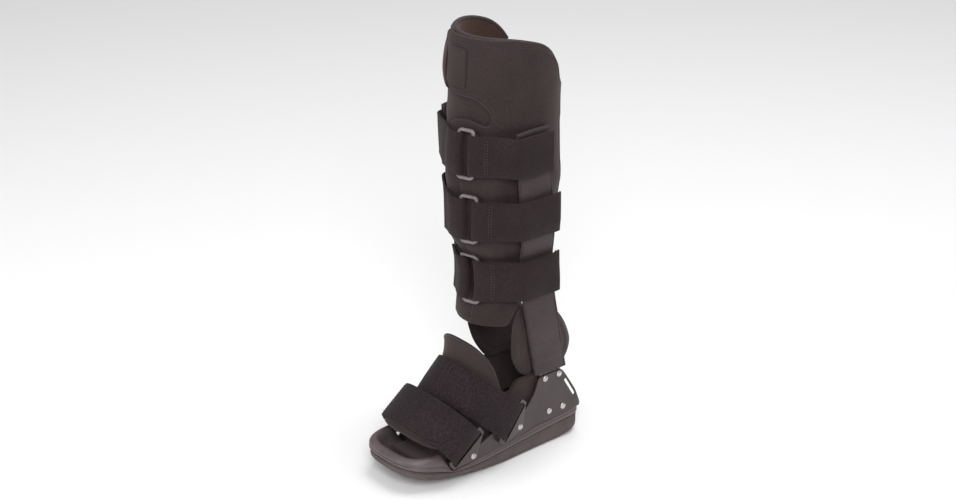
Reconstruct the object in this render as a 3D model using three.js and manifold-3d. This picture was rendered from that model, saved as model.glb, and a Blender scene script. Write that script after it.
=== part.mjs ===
// A tall medical walking boot in millimetres: a rocker sole with a metal foot plate, two contoured uprights in
// fabric sleeves, a padded leg wrap held by three shin straps, and two straps with pads over the foot.
// +Z is up, the toes point to -Y and the wearer's left is +X. The boot stands on its sole.
import * as THREE from "three";
import Module from "manifold-3d";
import { mergeVertices } from "three/addons/utils/BufferGeometryUtils.js";

const wasm = await Module();
wasm.setup();

// Clearance between pieces that touch
const GAP = 0.3;

// Sole: lengths run from the ankle, which is y = 0
const TOE_REACH = 170;
const HEEL_REACH = 85;
const FOREFOOT_WIDTH = 101;
const HEEL_WIDTH = 84;
const BALL_REACH = 104;
const HEEL_ROUND = 25;
const OUTSOLE_HEEL = 24.5;
const OUTSOLE_BALL = 12.2;
const OUTSOLE_TOE = 30;
const TOE_SPRING = 20;
const HEEL_BEVEL = 11;
const DECK_HEEL = 35.2;
const DECK_BALL = 18;
const DECK_TOE = 34;
const RIM_WIDTH = 15;
const RIM_TOP = 39.4;
const FOOTBED_THICKNESS = 4;

// Foot plate: a folded metal channel with a riveted wing on each side of the heel
const PLATE_THICKNESS = 2.2;
const PLATE_HEEL_WIDTH = 86;
const PLATE_BALL_WIDTH = 100;
const PLATE_FRONT = 113;
const PLATE_BACK = 73;
const WING_HEIGHT = 87.5;
const SLOT_LENGTH = 27;
const SLOT_WIDTH = 3.4;
const SLOT_PLACE = 0.85;
const RIVET_HEAD = 7.4;
const RIVET_DOME = 1.6;
const RIVET_SPACING = 20;
const RIVET_RISE = 42;

// Uprights: bars riveted inside the wings, in flat sleeves above them
const BAR_WIDTH = 31;
const BAR_THICKNESS = 3;
const BAR_BOTTOM = 36.6;
const LOW_RIVET = 41;
const SLEEVE_WIDTH = 43;
const SLEEVE_THICKNESS = 5.4;
const SLEEVE_WALL = 0.9;
const SLEEVE_BOTTOM = 92;
const UPRIGHT_TOP = 389;
const UPRIGHT_SWEEP = 55;
const UPRIGHT_TOP_Y = -16.5;
const SLEEVE_ROLL = 8;

// Leg wrap: padded cloth round the calf
const WRAP_BOTTOM = 161;
const WRAP_TOP = 485;
const CALF_WIDTH = 115;
const CALF_DEPTH = 126;
const WRAP_THICKNESS = 5.5;
const BACK_DROP = 62;
const SIDE_RISE = 34;
const FLAP_THICKNESS = 3.6;
const NOTCH_HEIGHT = 27;
const NOTCH_Z = 405;
const NOTCH_REACH = 38;
const FLAP_EDGE = 11;
const PATCH_WIDTH = 19;
const PATCH_ANGLE = 0.16;
const PATCH_HEIGHT = 44;
const PATCH_THICKNESS = 1.4;
const PULL_THICKNESS = 2.4;
const PULL_WIDTH = 17;
const PULL_BOW = 9;

// Webbing straps and their rings
const STRAP_THICKNESS = 2.6;
const SHIN_STRAP_WIDTH = 45;
const RING_BAR = 3.6;
const RING_WIDTH = 15;
const TAB_THICKNESS = 2;
const TAB_SLOT_LENGTH = 46;
const TAB_SLOT_WIDTH = 9;
const TAB_BAR = 3.6;
const TAB_REACH = 11.5;
const TAB_CORNER = 6.5;
const TAB_LEAN = 7;
const FOOT_STRAP_WIDTH = 44;

// Pads
const HEEL_PAD_THICKNESS = 5;
const HEEL_PAD_TOP = 90;
const ANKLE_PAD_THICKNESS = 9;
const ANKLE_PAD_HEIGHT = 84;
const ANKLE_PAD_WIDTH = 92;
const FOOT_PAD_THICKNESS = 5;

// Leg wrap sections: height is a share of the wrap's height from its lower edge, width and depth are shares of
// the calf's, and back is the shift of the section's centre as a share of the calf's depth
const WRAP_SECTIONS = [
  { height: 0, width: 0.8, depth: 0.84, back: -0.032 },
  { height: 0.09, width: 0.79, depth: 0.79, back: -0.028 },
  { height: 0.165, width: 0.8, depth: 0.76, back: -0.024 },
  { height: 0.27, width: 0.905, depth: 0.93, back: -0.05 },
  { height: 0.375, width: 0.965, depth: 0.955, back: -0.048 },
  { height: 0.48, width: 0.99, depth: 1, back: -0.03 },
  { height: 0.6, width: 1, depth: 1, back: -0.04 },
  { height: 0.725, width: 0.985, depth: 0.95, back: -0.026 },
  { height: 0.845, width: 0.98, depth: 0.945, back: -0.014 },
  { height: 1, width: 0.95, depth: 0.9, back: -0.006 },
];

// Upright centre line: height is a share from the bar's lower end to its top, back a share of the sweep
const UPRIGHT_LINE = [
  { height: 0, back: 1 },
  { height: 0.14, back: 0.864 },
  { height: 0.205, back: 0.75 },
  { height: 0.33, back: 0.5 },
  { height: 0.445, back: 0.36 },
  { height: 0.61, back: 0.24 },
  { height: 0.85, back: 0.06 },
  { height: 1, back: 0 },
];

// Wing and flange outline: along is a share of the plate's reach behind the ankle (positive) or in front of it
// (negative), rise a share of the wing's height above the plate
const FLANGE_PROFILE = [
  { along: -1, rise: 0.06 },
  { along: -0.93, rise: 0.2 },
  { along: -0.72, rise: 0.22 },
  { along: -0.52, rise: 0.36 },
  { along: -0.3, rise: 0.36 },
  { along: -0.05, rise: 0.5 },
  { along: 0.06, rise: 0.68 },
  { along: 0.17, rise: 0.985 },
  { along: 0.6, rise: 1 },
  { along: 0.67, rise: 0.88 },
  { along: 0.9, rise: 0.4 },
  { along: 0.985, rise: 0.1 },
  { along: 1, rise: 0.04 },
];

// Shin straps: middle is a share of the wrap's height from its lower edge, width a share of a strap's width and
// ring the angle of the ring from straight ahead towards the wearer's left
const SHIN_STRAPS = [
  { name: "top", middle: 0.613, width: 1, ring: 12 },
  { name: "middle", middle: 0.39, width: 1, ring: 12 },
  { name: "low", middle: 0.168, width: 1.08, ring: -4 },
];
const FAR_STRAP_EXTRA = 1;
const FOLD_BACK = 34;

// Foot straps: pivot is the rivet's place behind the ankle and above the plate, slope the slot's slope and
// crown how far the strap rises over the foot above its slots
const FOOT_STRAPS = [
  { name: "instep", pivotY: -20, pivotRise: 13.5, slope: 48, crown: 62 },
  { name: "forefoot", pivotY: -88, pivotRise: 8, slope: 38, crown: 29 },
];

// Foot pads lie under the straps: back and front are how far they reach past the strap's two edges, lift how far
// the back edge stands up from the strap's line
const FOOT_PADS = [
  { name: "instep", back: 24, front: -6, lift: 12 },
  { name: "forefoot", back: -8, front: 7, lift: 0 },
];

const material = (color, roughness, metalness) => new THREE.MeshStandardMaterial({ color, roughness, metalness });
const finishes = {
  wrapCloth: material(0x3d3133, 0.95, 0),
  webbing: material(0x2f2728, 0.9, 0),
  sleeveCloth: material(0x454043, 0.7, 0),
  padCloth: material(0x3a3032, 0.95, 0),
  powderCoat: material(0x2c2829, 0.45, 0.3),
  rubber: material(0x353031, 0.75, 0),
  moulded: material(0x3c3738, 0.5, 0),
  steel: material(0xb8b4b0, 0.35, 1),
  bar: material(0x8d8d90, 0.4, 1),
};

const radians = THREE.MathUtils.degToRad;
const lerp = THREE.MathUtils.lerp;
const smoothstep = THREE.MathUtils.smoothstep;
const range = (count, from, to) => Array.from({ length: count }, (_, i) => lerp(from, to, i / (count - 1)));

// Reads one column of a table at a value of its first column, with a smooth curve through the rows
function readTable(rows, by, column, at) {
  const last = rows.length - 1;
  const x = THREE.MathUtils.clamp(at, rows[0][by], rows[last][by]);
  const i = Math.max(0, Math.min(last - 1, rows.findIndex((row) => row[by] >= x) - 1));
  const t = (x - rows[i][by]) / (rows[i + 1][by] - rows[i][by]);
  const slope = (k) => {
    const a = rows[Math.max(0, k - 1)];
    const b = rows[Math.min(last, k + 1)];
    return ((b[column] - a[column]) / (b[by] - a[by])) * (rows[i + 1][by] - rows[i][by]);
  };
  const p = rows[i][column];
  const q = rows[i + 1][column];
  const m = slope(i);
  const n = slope(i + 1);
  return p + m * t + (3 * (q - p) - 2 * m - n) * t * t + (2 * (p - q) + m + n) * t * t * t;
}

// Reads a table with straight lines between its rows
function readStraight(rows, by, column, at) {
  const last = rows.length - 1;
  const x = THREE.MathUtils.clamp(at, rows[0][by], rows[last][by]);
  const i = Math.max(0, Math.min(last - 1, rows.findIndex((row) => row[by] >= x) - 1));
  return lerp(rows[i][column], rows[i + 1][column], (x - rows[i][by]) / (rows[i + 1][by] - rows[i][by]));
}

// Triangles that close one end ring, wound with or against the ring
function capFaces(ring, offset, along) {
  const normal = new THREE.Vector3();
  ring.forEach((p, i) => normal.add(new THREE.Vector3().crossVectors(p, ring[(i + 1) % ring.length])));
  const turn = new THREE.Quaternion().setFromUnitVectors(normal.normalize(), new THREE.Vector3(0, 0, 1));
  const flat = ring.map((p) => p.clone().applyQuaternion(turn)).map((p) => new THREE.Vector2(p.x, p.y));
  return THREE.ShapeUtils.triangulateShape(flat, []).flatMap((face) => {
    const wound = THREE.ShapeUtils.area(face.map((k) => flat[k])) > 0;
    const [a, b, c] = face.map((k) => k + offset);
    return wound === along ? [a, b, c] : [a, c, b];
  });
}

// A solid through rings of points, closed at its two ends or joined back to its first ring
function loft(rings, joined = false) {
  const size = rings[0].length;
  const faces = [];
  const spans = joined ? rings.length : rings.length - 1;
  for (let i = 0; i < spans; i++) {
    const next = (i + 1) % rings.length;
    for (let j = 0; j < size; j++) {
      const k = (j + 1) % size;
      faces.push(i * size + j, i * size + k, next * size + k);
      faces.push(i * size + j, next * size + k, next * size + j);
    }
  }
  if (!joined) {
    faces.push(...capFaces(rings[0], 0, false));
    faces.push(...capFaces(rings.at(-1), size * (rings.length - 1), true));
  }
  return facingOut(new THREE.BufferGeometry().setFromPoints(rings.flat()).setIndex(faces));
}

// Turns a geometry's faces outwards if its volume comes out negative
function facingOut(geometry) {
  const index = Array.from(geometry.index.array);
  const point = (k) => new THREE.Vector3().fromBufferAttribute(geometry.attributes.position, k);
  let volume = 0;
  for (let i = 0; i < index.length; i += 3) {
    const [a, b, c] = index.slice(i, i + 3).map(point);
    volume += a.dot(b.cross(c));
  }
  if (volume < 0) {
    for (let i = 0; i < index.length; i += 3) {
      [index[i + 1], index[i + 2]] = [index[i + 2], index[i + 1]];
    }
  }
  return geometry.setIndex(index);
}

function toSolid(geometry) {
  const bare = geometry.clone();
  bare.deleteAttribute("normal");
  bare.deleteAttribute("uv");
  const merged = mergeVertices(bare, 1e-4);
  const triVerts = new Uint32Array(merged.index.array);
  const vertProperties = new Float32Array(merged.attributes.position.array);
  return new wasm.Manifold(new wasm.Mesh({ numProp: 3, vertProperties, triVerts }));
}

function toGeometry(solid) {
  const mesh = solid.getMesh();
  const geometry = new THREE.BufferGeometry();
  geometry.setAttribute("position", new THREE.BufferAttribute(mesh.vertProperties, 3));
  return geometry.setIndex(new THREE.BufferAttribute(mesh.triVerts, 1));
}

const join = (...parts) => toGeometry(parts.map(toSolid).reduce((a, b) => a.add(b)));
const cut = (body, ...tools) => toGeometry(tools.map(toSolid).reduce((a, b) => a.subtract(b), toSolid(body)));
const point = (x, y, z) => new THREE.Vector3(x, y, z);

const boot = new THREE.Group();

function piece(name, geometry, finish, parent = boot) {
  const mesh = new THREE.Mesh(geometry, finish);
  mesh.name = name;
  parent.add(mesh);
  return mesh;
}

// The sole's plan and heights along its length

// Half the sole's width: round at the heel and the toe, widening from heel to ball
function soleHalfWidth(y) {
  const heelRound = HEEL_REACH - HEEL_ROUND;
  const ball = FOREFOOT_WIDTH / 2;
  const heel = HEEL_WIDTH / 2;
  const roundOff = (t, power) => (1 - Math.min(1, t) ** power) ** (1 / power);
  if (y > heelRound) return heel * roundOff((y - heelRound) / HEEL_ROUND, 2.3);
  if (y > -BALL_REACH) return lerp(heel, ball, smoothstep(-y, -heelRound, BALL_REACH));
  return ball * roundOff((-y - BALL_REACH) / (TOE_REACH - BALL_REACH), 3.2);
}

const ramp = (OUTSOLE_HEEL - OUTSOLE_BALL) / (HEEL_REACH + BALL_REACH * 0.8);
const toeShare = (y, from) => Math.max(0, (-y - from) / (TOE_REACH - from));
const soleBottom = (y) => TOE_SPRING * toeShare(y, BALL_REACH / 3) ** 1.4
  + HEEL_BEVEL * Math.max(0, (y - HEEL_REACH * 0.5) / (HEEL_REACH * 0.5)) ** 1.6;
const outsoleTop = (y) => OUTSOLE_HEEL + ramp * (Math.max(y, -BALL_REACH * 0.8) - HEEL_REACH)
  + (OUTSOLE_TOE - OUTSOLE_BALL) * toeShare(y, BALL_REACH * 0.8) ** 1.8;
const deckTop = (y) => lerp(DECK_HEEL, DECK_BALL, (HEEL_REACH - Math.max(y, -PLATE_FRONT)) / (HEEL_REACH + PLATE_FRONT))
  + (DECK_TOE - DECK_BALL) * toeShare(y, PLATE_FRONT) ** 1.2;
const plateBottom = (y) => deckTop(y) + GAP;
const footbedBottom = (y) => deckTop(y) + GAP + (y > -PLATE_FRONT - 3 ? PLATE_THICKNESS + GAP : 0);

// Stations along the sole, closer together where its ends curve
const soleStations = [
  ...range(9, 0.05, 1).map((t) => HEEL_REACH - HEEL_ROUND * (1 - Math.sin((t * Math.PI) / 2))).reverse(),
  ...range(12, HEEL_REACH - HEEL_ROUND - 8, -BALL_REACH + 4),
  ...range(11, 0, 0.998).map((t) => -BALL_REACH - (TOE_REACH - BALL_REACH) * Math.sin((t * Math.PI) / 2)),
];

// A slab along the sole between two heights, inset from the sole's edge, with its lower and upper edges eased
function soleSlab(low, high, inset, lowEase, highEase, stations = soleStations) {
  const rings = stations.map((y) => {
    const half = Math.max(2, soleHalfWidth(y) - inset(y));
    const z0 = low(y);
    const z1 = high(y);
    const side = [
      [half - lowEase, z0],
      [half - lowEase * 0.3, z0 + lowEase * 0.3],
      [half, z0 + lowEase],
      [half, z1 - highEase],
      [half - highEase * 0.3, z1 - highEase * 0.3],
      [half - highEase, z1],
    ];
    const left = side.map(([x, z]) => point(Math.max(x, 1), y, z));
    return [...left, ...left.map((p) => point(-p.x, p.y, p.z)).reverse()];
  });
  return loft(rings);
}

function outsole() {
  return soleSlab(soleBottom, outsoleTop, () => 1, 2.5, 0.8);
}

// The raised rim round the toe: a rounded ridge that follows the sole's edge and starts in front of the plate
function toeRim() {
  const back = PLATE_FRONT + 2;
  const rings = range(21, -1, 1).map((t) => {
    const share = 1 - Math.abs(t);
    const y = -back - (TOE_REACH - back) * Math.sin((share * Math.PI) / 2) ** 0.9;
    const x = Math.sign(t) * soleHalfWidth(y);
    const inward = point(-x, -back - y, 0).normalize();
    const rise = lerp(1, RIM_TOP - deckTop(y), smoothstep(-y, back + 1, back + RIM_WIDTH));
    const profile = [[0.02, -1.5], [0.06, rise * 0.7], [0.2, rise * 0.93], [0.45, rise], [0.72, rise * 0.86], [0.98, rise * 0.2], [0.8, -1.8]];
    return profile.map(([across, up]) => {
      const inset = 0.4 + across * RIM_WIDTH;
      return point(x + inward.x * inset, y + inward.y * inset, deckTop(y) + up);
    });
  });
  return loft(rings);
}

function midsole() {
  const low = (y) => outsoleTop(y) + GAP;
  return join(soleSlab(low, deckTop, () => 0, 1, 1.4), toeRim());
}

function footbed() {
  const inset = (y) => lerp(11, RIM_WIDTH + 10, smoothstep(-y, BALL_REACH * 0.86, BALL_REACH * 1.35));
  const stations = soleStations.filter((y) => y < HEEL_REACH - 12 && y > -TOE_REACH + RIM_WIDTH + 9);
  return soleSlab(footbedBottom, (y) => footbedBottom(y) + FOOTBED_THICKNESS, inset, 0.6, 1.4, stations);
}

// The metal plate

// Outer face of the plate's side wall, which widens from the heel to the ball
const plateSide = (y) => lerp(PLATE_HEEL_WIDTH, PLATE_BALL_WIDTH, THREE.MathUtils.clamp((12 - y) / 62, 0, 1)) / 2;
const flangeRise = (y) => (WING_HEIGHT - plateBottom(WING_MIDDLE))
  * readStraight(FLANGE_PROFILE, "along", "rise", y > 0 ? y / PLATE_BACK : y / PLATE_FRONT);
const WING_MIDDLE = PLATE_BACK / 2;
const plateStations = FLANGE_PROFILE.map((row) => row.along * (row.along > 0 ? PLATE_BACK : PLATE_FRONT))
  .concat([12, -50]).sort((a, b) => b - a);

// One side wall of the plate, its top edge following the wing and the flange
function plateWall(side) {
  return loft(plateStations.map((y) => {
    const outer = plateSide(y) * side;
    const inner = (plateSide(y) - PLATE_THICKNESS) * side;
    const low = plateBottom(y);
    const high = low + PLATE_THICKNESS + flangeRise(y);
    return [point(outer, y, low), point(outer, y, high), point(inner, y, high), point(inner, y, low)];
  }));
}

function plateFloor() {
  return loft(plateStations.map((y) => {
    const half = plateSide(y) - PLATE_THICKNESS / 2;
    const low = plateBottom(y);
    const high = low + PLATE_THICKNESS;
    return [point(half, y, low), point(half, y, high), point(-half, y, high), point(-half, y, low)];
  }));
}

// A slotted hole along each wing's rear edge
function wingSlot() {
  const half = (SLOT_LENGTH - SLOT_WIDTH) / 2;
  const shape = new THREE.Shape();
  shape.absarc(half, 0, SLOT_WIDTH / 2, -Math.PI / 2, Math.PI / 2);
  shape.absarc(-half, 0, SLOT_WIDTH / 2, Math.PI / 2, (3 * Math.PI) / 2);
  const depth = PLATE_HEEL_WIDTH + 20;
  const slot = new THREE.ExtrudeGeometry(shape, { depth, bevelEnabled: false, curveSegments: 5 });
  const wingTop = (y) => plateBottom(y) + PLATE_THICKNESS + flangeRise(y);
  const middle = PLATE_BACK * SLOT_PLACE;
  const lean = Math.atan2(SLOT_WIDTH, wingTop(middle - SLOT_WIDTH) - wingTop(middle));
  slot.translate(0, 0, -depth / 2).rotateY(Math.PI / 2).rotateX(lean);
  const inward = SLOT_WIDTH * 1.5;
  return slot.translate(0, middle - inward * Math.cos(lean), wingTop(middle) - inward * Math.sin(lean));
}

function footPlate() {
  return cut(join(plateFloor(), plateWall(1), plateWall(-1)), wingSlot());
}

// Uprights

// Heights at which every piece on the wrap has a row of points, so that their faces stay parallel
const wrapHeight = (share) => lerp(WRAP_BOTTOM, WRAP_TOP, share);
const wrapLevels = [0.12, 0.165, 0.27, 0.385, 0.5, 0.603, 0.74].map(wrapHeight);

// Half the wrap's outer width and depth and the middle of its section at a height
function smoothSection(z) {
  const height = (z - WRAP_BOTTOM) / (WRAP_TOP - WRAP_BOTTOM);
  return {
    z,
    width: (readTable(WRAP_SECTIONS, "height", "width", height) * CALF_WIDTH) / 2,
    depth: (readTable(WRAP_SECTIONS, "height", "depth", height) * CALF_DEPTH) / 2,
    middle: readTable(WRAP_SECTIONS, "height", "back", height) * CALF_DEPTH,
  };
}

const wrapRows = [WRAP_BOTTOM, wrapHeight(0.06), ...wrapLevels, wrapHeight(0.86), WRAP_TOP].map(smoothSection);
const wrapSection = (z) => ({
  width: readStraight(wrapRows, "z", "width", z),
  depth: readStraight(wrapRows, "z", "depth", z),
  middle: readStraight(wrapRows, "z", "middle", z),
});

const barInWing = PLATE_HEEL_WIDTH / 2 - PLATE_THICKNESS - GAP - BAR_THICKNESS / 2;

// Centre of the upright at a height: inside the wing, then swelling out along the wrap's side
function uprightAt(z) {
  const share = (z - BAR_BOTTOM) / (UPRIGHT_TOP - BAR_BOTTOM);
  const y = UPRIGHT_TOP_Y + UPRIGHT_SWEEP * readTable(UPRIGHT_LINE, "height", "back", share);
  const clear = wrapSection(Math.max(z, WRAP_BOTTOM)).width + GAP * 3 + SLEEVE_THICKNESS / 2;
  const x = lerp(barInWing, clear, smoothstep(z, SLEEVE_BOTTOM - 6, WRAP_BOTTOM + 6));
  return { x, y };
}

// A flat tube or bar along the upright, between two heights
function uprightBand(side, width, thickness, heights) {
  return loft(heights.map((z) => {
    const { x, y } = uprightAt(z);
    const u = width / 2;
    const t = thickness / 2;
    return [[t, -u], [t, u], [-t, u], [-t, -u]].map(([dx, dy]) => point((x + dx) * side, y + dy, z));
  }));
}

const uprightRows = range(19, SLEEVE_BOTTOM, UPRIGHT_TOP);
const uprightHeights = (low, high) => [low, ...uprightRows.filter((z) => z > low + 3 && z < high - 3), high];

function upright(side) {
  return uprightBand(side, BAR_WIDTH, BAR_THICKNESS, uprightHeights(BAR_BOTTOM, UPRIGHT_TOP - 9));
}

// The sleeve is open at its lower end, where the bar goes in, and closed by a roll at its top
function uprightSleeve(side) {
  const outer = uprightHeights(SLEEVE_BOTTOM, UPRIGHT_TOP);
  const inner = uprightHeights(SLEEVE_BOTTOM - 20, UPRIGHT_TOP - 5);
  const body = uprightBand(side, SLEEVE_WIDTH, SLEEVE_THICKNESS, outer);
  const hollow = uprightBand(side, SLEEVE_WIDTH - 4, SLEEVE_THICKNESS - 2 * SLEEVE_WALL, inner);
  const top = uprightAt(UPRIGHT_TOP);
  const roll = new THREE.CylinderGeometry(SLEEVE_ROLL / 2, SLEEVE_ROLL / 2, SLEEVE_WIDTH - 1, 12);
  roll.translate((top.x + SLEEVE_ROLL / 2 - SLEEVE_THICKNESS / 2) * side, top.y, UPRIGHT_TOP);
  return join(cut(body, hollow), roll);
}

// Domed rivet heads on the outside of the wings
function rivet() {
  const profile = [new THREE.Vector2(0, 0), new THREE.Vector2(RIVET_HEAD / 2, 0)];
  for (const t of range(4, 0.15, 1)) {
    const angle = (t * Math.PI) / 2;
    profile.push(new THREE.Vector2((RIVET_HEAD / 2) * Math.cos(angle), RIVET_DOME * Math.sin(angle)));
  }
  profile[profile.length - 1].x = 0;
  return new THREE.LatheGeometry(profile, 10);
}

function wingRivets(side) {
  const rows = [
    { name: "low", z: LOW_RIVET },
    { name: "high", z: LOW_RIVET + RIVET_RISE },
  ];
  for (const row of rows) {
    for (const [place, along] of [["front", -0.5], ["back", 0.5]]) {
      const mesh = piece(`wing_rivet_${row.name}_${place}_${sideName(side)}`, rivet(), finishes.steel);
      mesh.rotation.z = (-Math.PI / 2) * side;
      mesh.position.set(side * (PLATE_HEEL_WIDTH / 2 + GAP), uprightAt(row.z).y + along * RIVET_SPACING, row.z);
    }
  }
}

const sideName = (side) => (side > 0 ? "left" : "right");

// Leg wrap

const onWrap = (angle, z, offset) => {
  const section = wrapSection(z);
  const x = Math.sin(angle) * (section.width + offset);
  const y = -Math.cos(angle) * (section.depth + offset);
  return point(x, y + section.middle, z);
};

// Edges of the wrap by the angle from straight ahead: lower behind the calf, and cut higher at the uprights
const wrapTopAt = (angle) => WRAP_TOP - BACK_DROP * smoothstep(Math.abs(angle), radians(80), radians(138));
const wrapBottomAt = (angle) => WRAP_BOTTOM + SIDE_RISE * smoothstep(Math.abs(angle), radians(56), radians(80));

// A wall on the wrap's surface between two angles, with eased upper and lower edges
function wrapWall({ from, to, count, low, high, inside, outside, levels }) {
  const whole = to - from > Math.PI * 1.99;
  const angles = whole ? range(count + 1, from, to).slice(0, -1) : range(count, from, to);
  const ease = Math.min(1.6, (outside - inside) / 3);
  const rings = angles.map((angle) => {
    const bottom = low(angle);
    const top = high(angle);
    const heights = levels(bottom + ease, top - ease);
    const outer = heights.map((z) => onWrap(angle, z, outside));
    const inner = heights.map((z) => onWrap(angle, z, inside)).reverse();
    return [
      onWrap(angle, bottom, outside - ease), ...outer, onWrap(angle, top, outside - ease),
      onWrap(angle, top, inside + ease), ...inner, onWrap(angle, bottom, inside + ease),
    ];
  });
  return loft(rings, whole);
}

const tallLevels = (bottom, top) => [bottom, (bottom + wrapLevels[0]) / 2, ...wrapLevels, (wrapLevels.at(-1) + top) / 2, top];
const shortLevels = (bottom, top) => [bottom, (bottom + top) / 2, top];

function legWrap() {
  return wrapWall({
    from: -Math.PI, to: Math.PI, count: 36,
    low: wrapBottomAt, high: wrapTopAt, inside: -WRAP_THICKNESS, outside: 0, levels: tallLevels,
  });
}

// The overlapping flap ends near the middle in front and leaves a round notch above the top strap
function wrapFlap() {
  const flap = wrapWall({
    from: radians(-20), to: radians(57), count: 12,
    low: () => WRAP_BOTTOM + 3, high: () => WRAP_TOP - 1.5,
    inside: 2 * GAP, outside: 2 * GAP + FLAP_THICKNESS, levels: tallLevels,
  });
  const round = NOTCH_HEIGHT * 0.3;
  const left = -CALF_WIDTH / 2;
  const below = new THREE.Shape();
  below.moveTo(left, WRAP_BOTTOM - NOTCH_Z - round);
  below.lineTo(FLAP_EDGE, WRAP_BOTTOM - NOTCH_Z - round);
  below.lineTo(FLAP_EDGE, -NOTCH_HEIGHT * 0.4);
  below.lineTo(NOTCH_REACH - round, -NOTCH_HEIGHT * 0.5);
  below.absarc(NOTCH_REACH - round, -NOTCH_HEIGHT * 0.2, round, -Math.PI / 2, Math.PI / 2.6);
  below.lineTo(NOTCH_REACH * 0.4, NOTCH_HEIGHT * 0.64);
  below.lineTo(left, NOTCH_HEIGHT * 0.72);
  const tool = new THREE.ExtrudeGeometry(below, { depth: CALF_DEPTH, bevelEnabled: false, curveSegments: 8 });
  return cut(flap, tool.rotateX(Math.PI / 2).translate(0, 0, NOTCH_Z));
}

// The hook patch is sewn on the flap's upper end
function hookPatch() {
  const middle = WRAP_TOP - PATCH_HEIGHT / 2 - 12;
  const spread = PATCH_WIDTH / CALF_DEPTH;
  return wrapWall({
    from: PATCH_ANGLE - spread, to: PATCH_ANGLE + spread, count: 4,
    low: () => middle - PATCH_HEIGHT / 2, high: () => middle + PATCH_HEIGHT / 2,
    inside: FLAP_THICKNESS + 3 * GAP, outside: FLAP_THICKNESS + 3 * GAP + PATCH_THICKNESS, levels: shortLevels,
  });
}

// A bowed pull strip whose two ends lie on the wrap
function pullStrip(angle, low, high, base) {
  return loft(range(11, 0, 1).map((t) => {
    const z = lerp(low, high, t);
    const bow = PULL_BOW * Math.sin(t * Math.PI) ** 0.8;
    const half = PULL_WIDTH / CALF_DEPTH;
    return [
      onWrap(angle - half, z, base + bow),
      onWrap(angle + half, z, base + bow),
      onWrap(angle + half, z, base + bow + PULL_THICKNESS),
      onWrap(angle - half, z, base + bow + PULL_THICKNESS),
    ];
  }));
}

// Shin straps

// The outline that a strap is drawn tight around at a height: the wrap with its flap, and the two sleeves
function beltHull(z) {
  const corners = [];
  for (const angle of range(61, -Math.PI, Math.PI)) {
    const flap = angle > radians(4) && angle < radians(62) ? FLAP_THICKNESS + 2 * GAP : 0;
    corners.push(onWrap(angle, z, flap));
  }
  const { x, y } = uprightAt(z);
  for (const side of [-1, 1]) {
    for (const along of [-SLEEVE_WIDTH / 2 - 2, SLEEVE_WIDTH / 2 + 2]) {
      corners.push(point(side * (x + SLEEVE_THICKNESS / 2 + 5 * GAP), y + along, z));
    }
  }
  corners.sort((a, b) => a.x - b.x || a.y - b.y);
  const half = (list) => list.reduce((hull, p) => {
    const turn = (a, b) => (b.x - a.x) * (p.y - a.y) - (b.y - a.y) * (p.x - a.x);
    while (hull.length > 1 && turn(hull.at(-2), hull.at(-1)) <= 0) hull.pop();
    hull.push(p);
    return hull;
  }, []);
  return [...half(corners).slice(0, -1), ...half(corners.slice().reverse()).slice(0, -1)];
}

// The point of that outline in a direction, pushed out by an offset
function onBelt(hull, angle, z, offset) {
  const centre = wrapSection(z).middle;
  const direction = new THREE.Vector2(Math.sin(angle), -Math.cos(angle));
  let reach = 0;
  hull.forEach((a, i) => {
    const b = hull[(i + 1) % hull.length];
    const edge = new THREE.Vector2(b.x - a.x, b.y - a.y);
    const start = new THREE.Vector2(a.x, a.y - centre);
    const cross = direction.cross(edge);
    if (Math.abs(cross) < 1e-9) return;
    const t = start.cross(edge) / cross;
    const s = start.cross(direction) / cross;
    if (s >= -1e-9 && s <= 1 + 1e-9 && t > 0) reach = Math.max(reach, t);
  });
  return point(direction.x * (reach + offset), direction.y * (reach + offset) + centre, z);
}

// The angle past the side at which a strap ends, level with the sleeve's rear edge
function strapEnd(z) {
  const { x, y } = uprightAt(z);
  return Math.PI / 2 + Math.atan2(y + SLEEVE_WIDTH / 2 - wrapSection(z).middle, x);
}

const ringBase = GAP + STRAP_THICKNESS + GAP;
const ringMiddle = ringBase + RING_BAR / 2;
const angleOf = (length, z) => length / (wrapSection(z).depth + FLAP_THICKNESS);
const strapHeights = (low, high) => [low, ...wrapLevels.filter((z) => z > low + 4 && z < high - 4), high];

function strapEdges({ middle, width }, extra) {
  const half = (width * SHIN_STRAP_WIDTH) / 2 + extra;
  return { low: wrapHeight(middle) - half, high: wrapHeight(middle) + half };
}

// A strap that runs from its sewn end to a bar of the ring, turns round the bar and runs back over itself
function foldedStrap({ low, high }, { from, bar, back, turning }) {
  const z = (low + high) / 2;
  const heights = strapHeights(low, high);
  const hulls = heights.map(beltHull);
  const at = (angle, offset) => heights.map((height, i) => onBelt(hulls[i], angle, height, offset));
  const ring = (near, far) => [...at(near.angle, near.offset), ...at(far.angle, far.offset).reverse()];
  const over = GAP + STRAP_THICKNESS + GAP;
  const lift = ringBase + RING_BAR + GAP;
  const clear = RING_BAR / 2 + GAP;
  const rings = [];
  for (const angle of range(22, from, bar)) {
    rings.push(ring({ angle, offset: GAP }, { angle, offset: GAP + STRAP_THICKNESS }));
  }
  for (const turn of range(6, -Math.PI / 2, Math.PI / 2).slice(1, -1)) {
    const around = (reach) => ({
      angle: bar + turning * angleOf(Math.cos(turn) * reach, z),
      offset: ringMiddle + Math.sin(turn) * reach,
    });
    rings.push(ring(around(clear + STRAP_THICKNESS), around(clear * 1.05)));
  }
  for (const angle of range(16, bar, back)) {
    const share = smoothstep(Math.abs(angle - bar), 0, angleOf(26, z));
    const offset = lerp(lift, over, share);
    rings.push(ring({ angle, offset: offset + STRAP_THICKNESS }, { angle, offset }));
  }
  return loft(rings);
}

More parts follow.
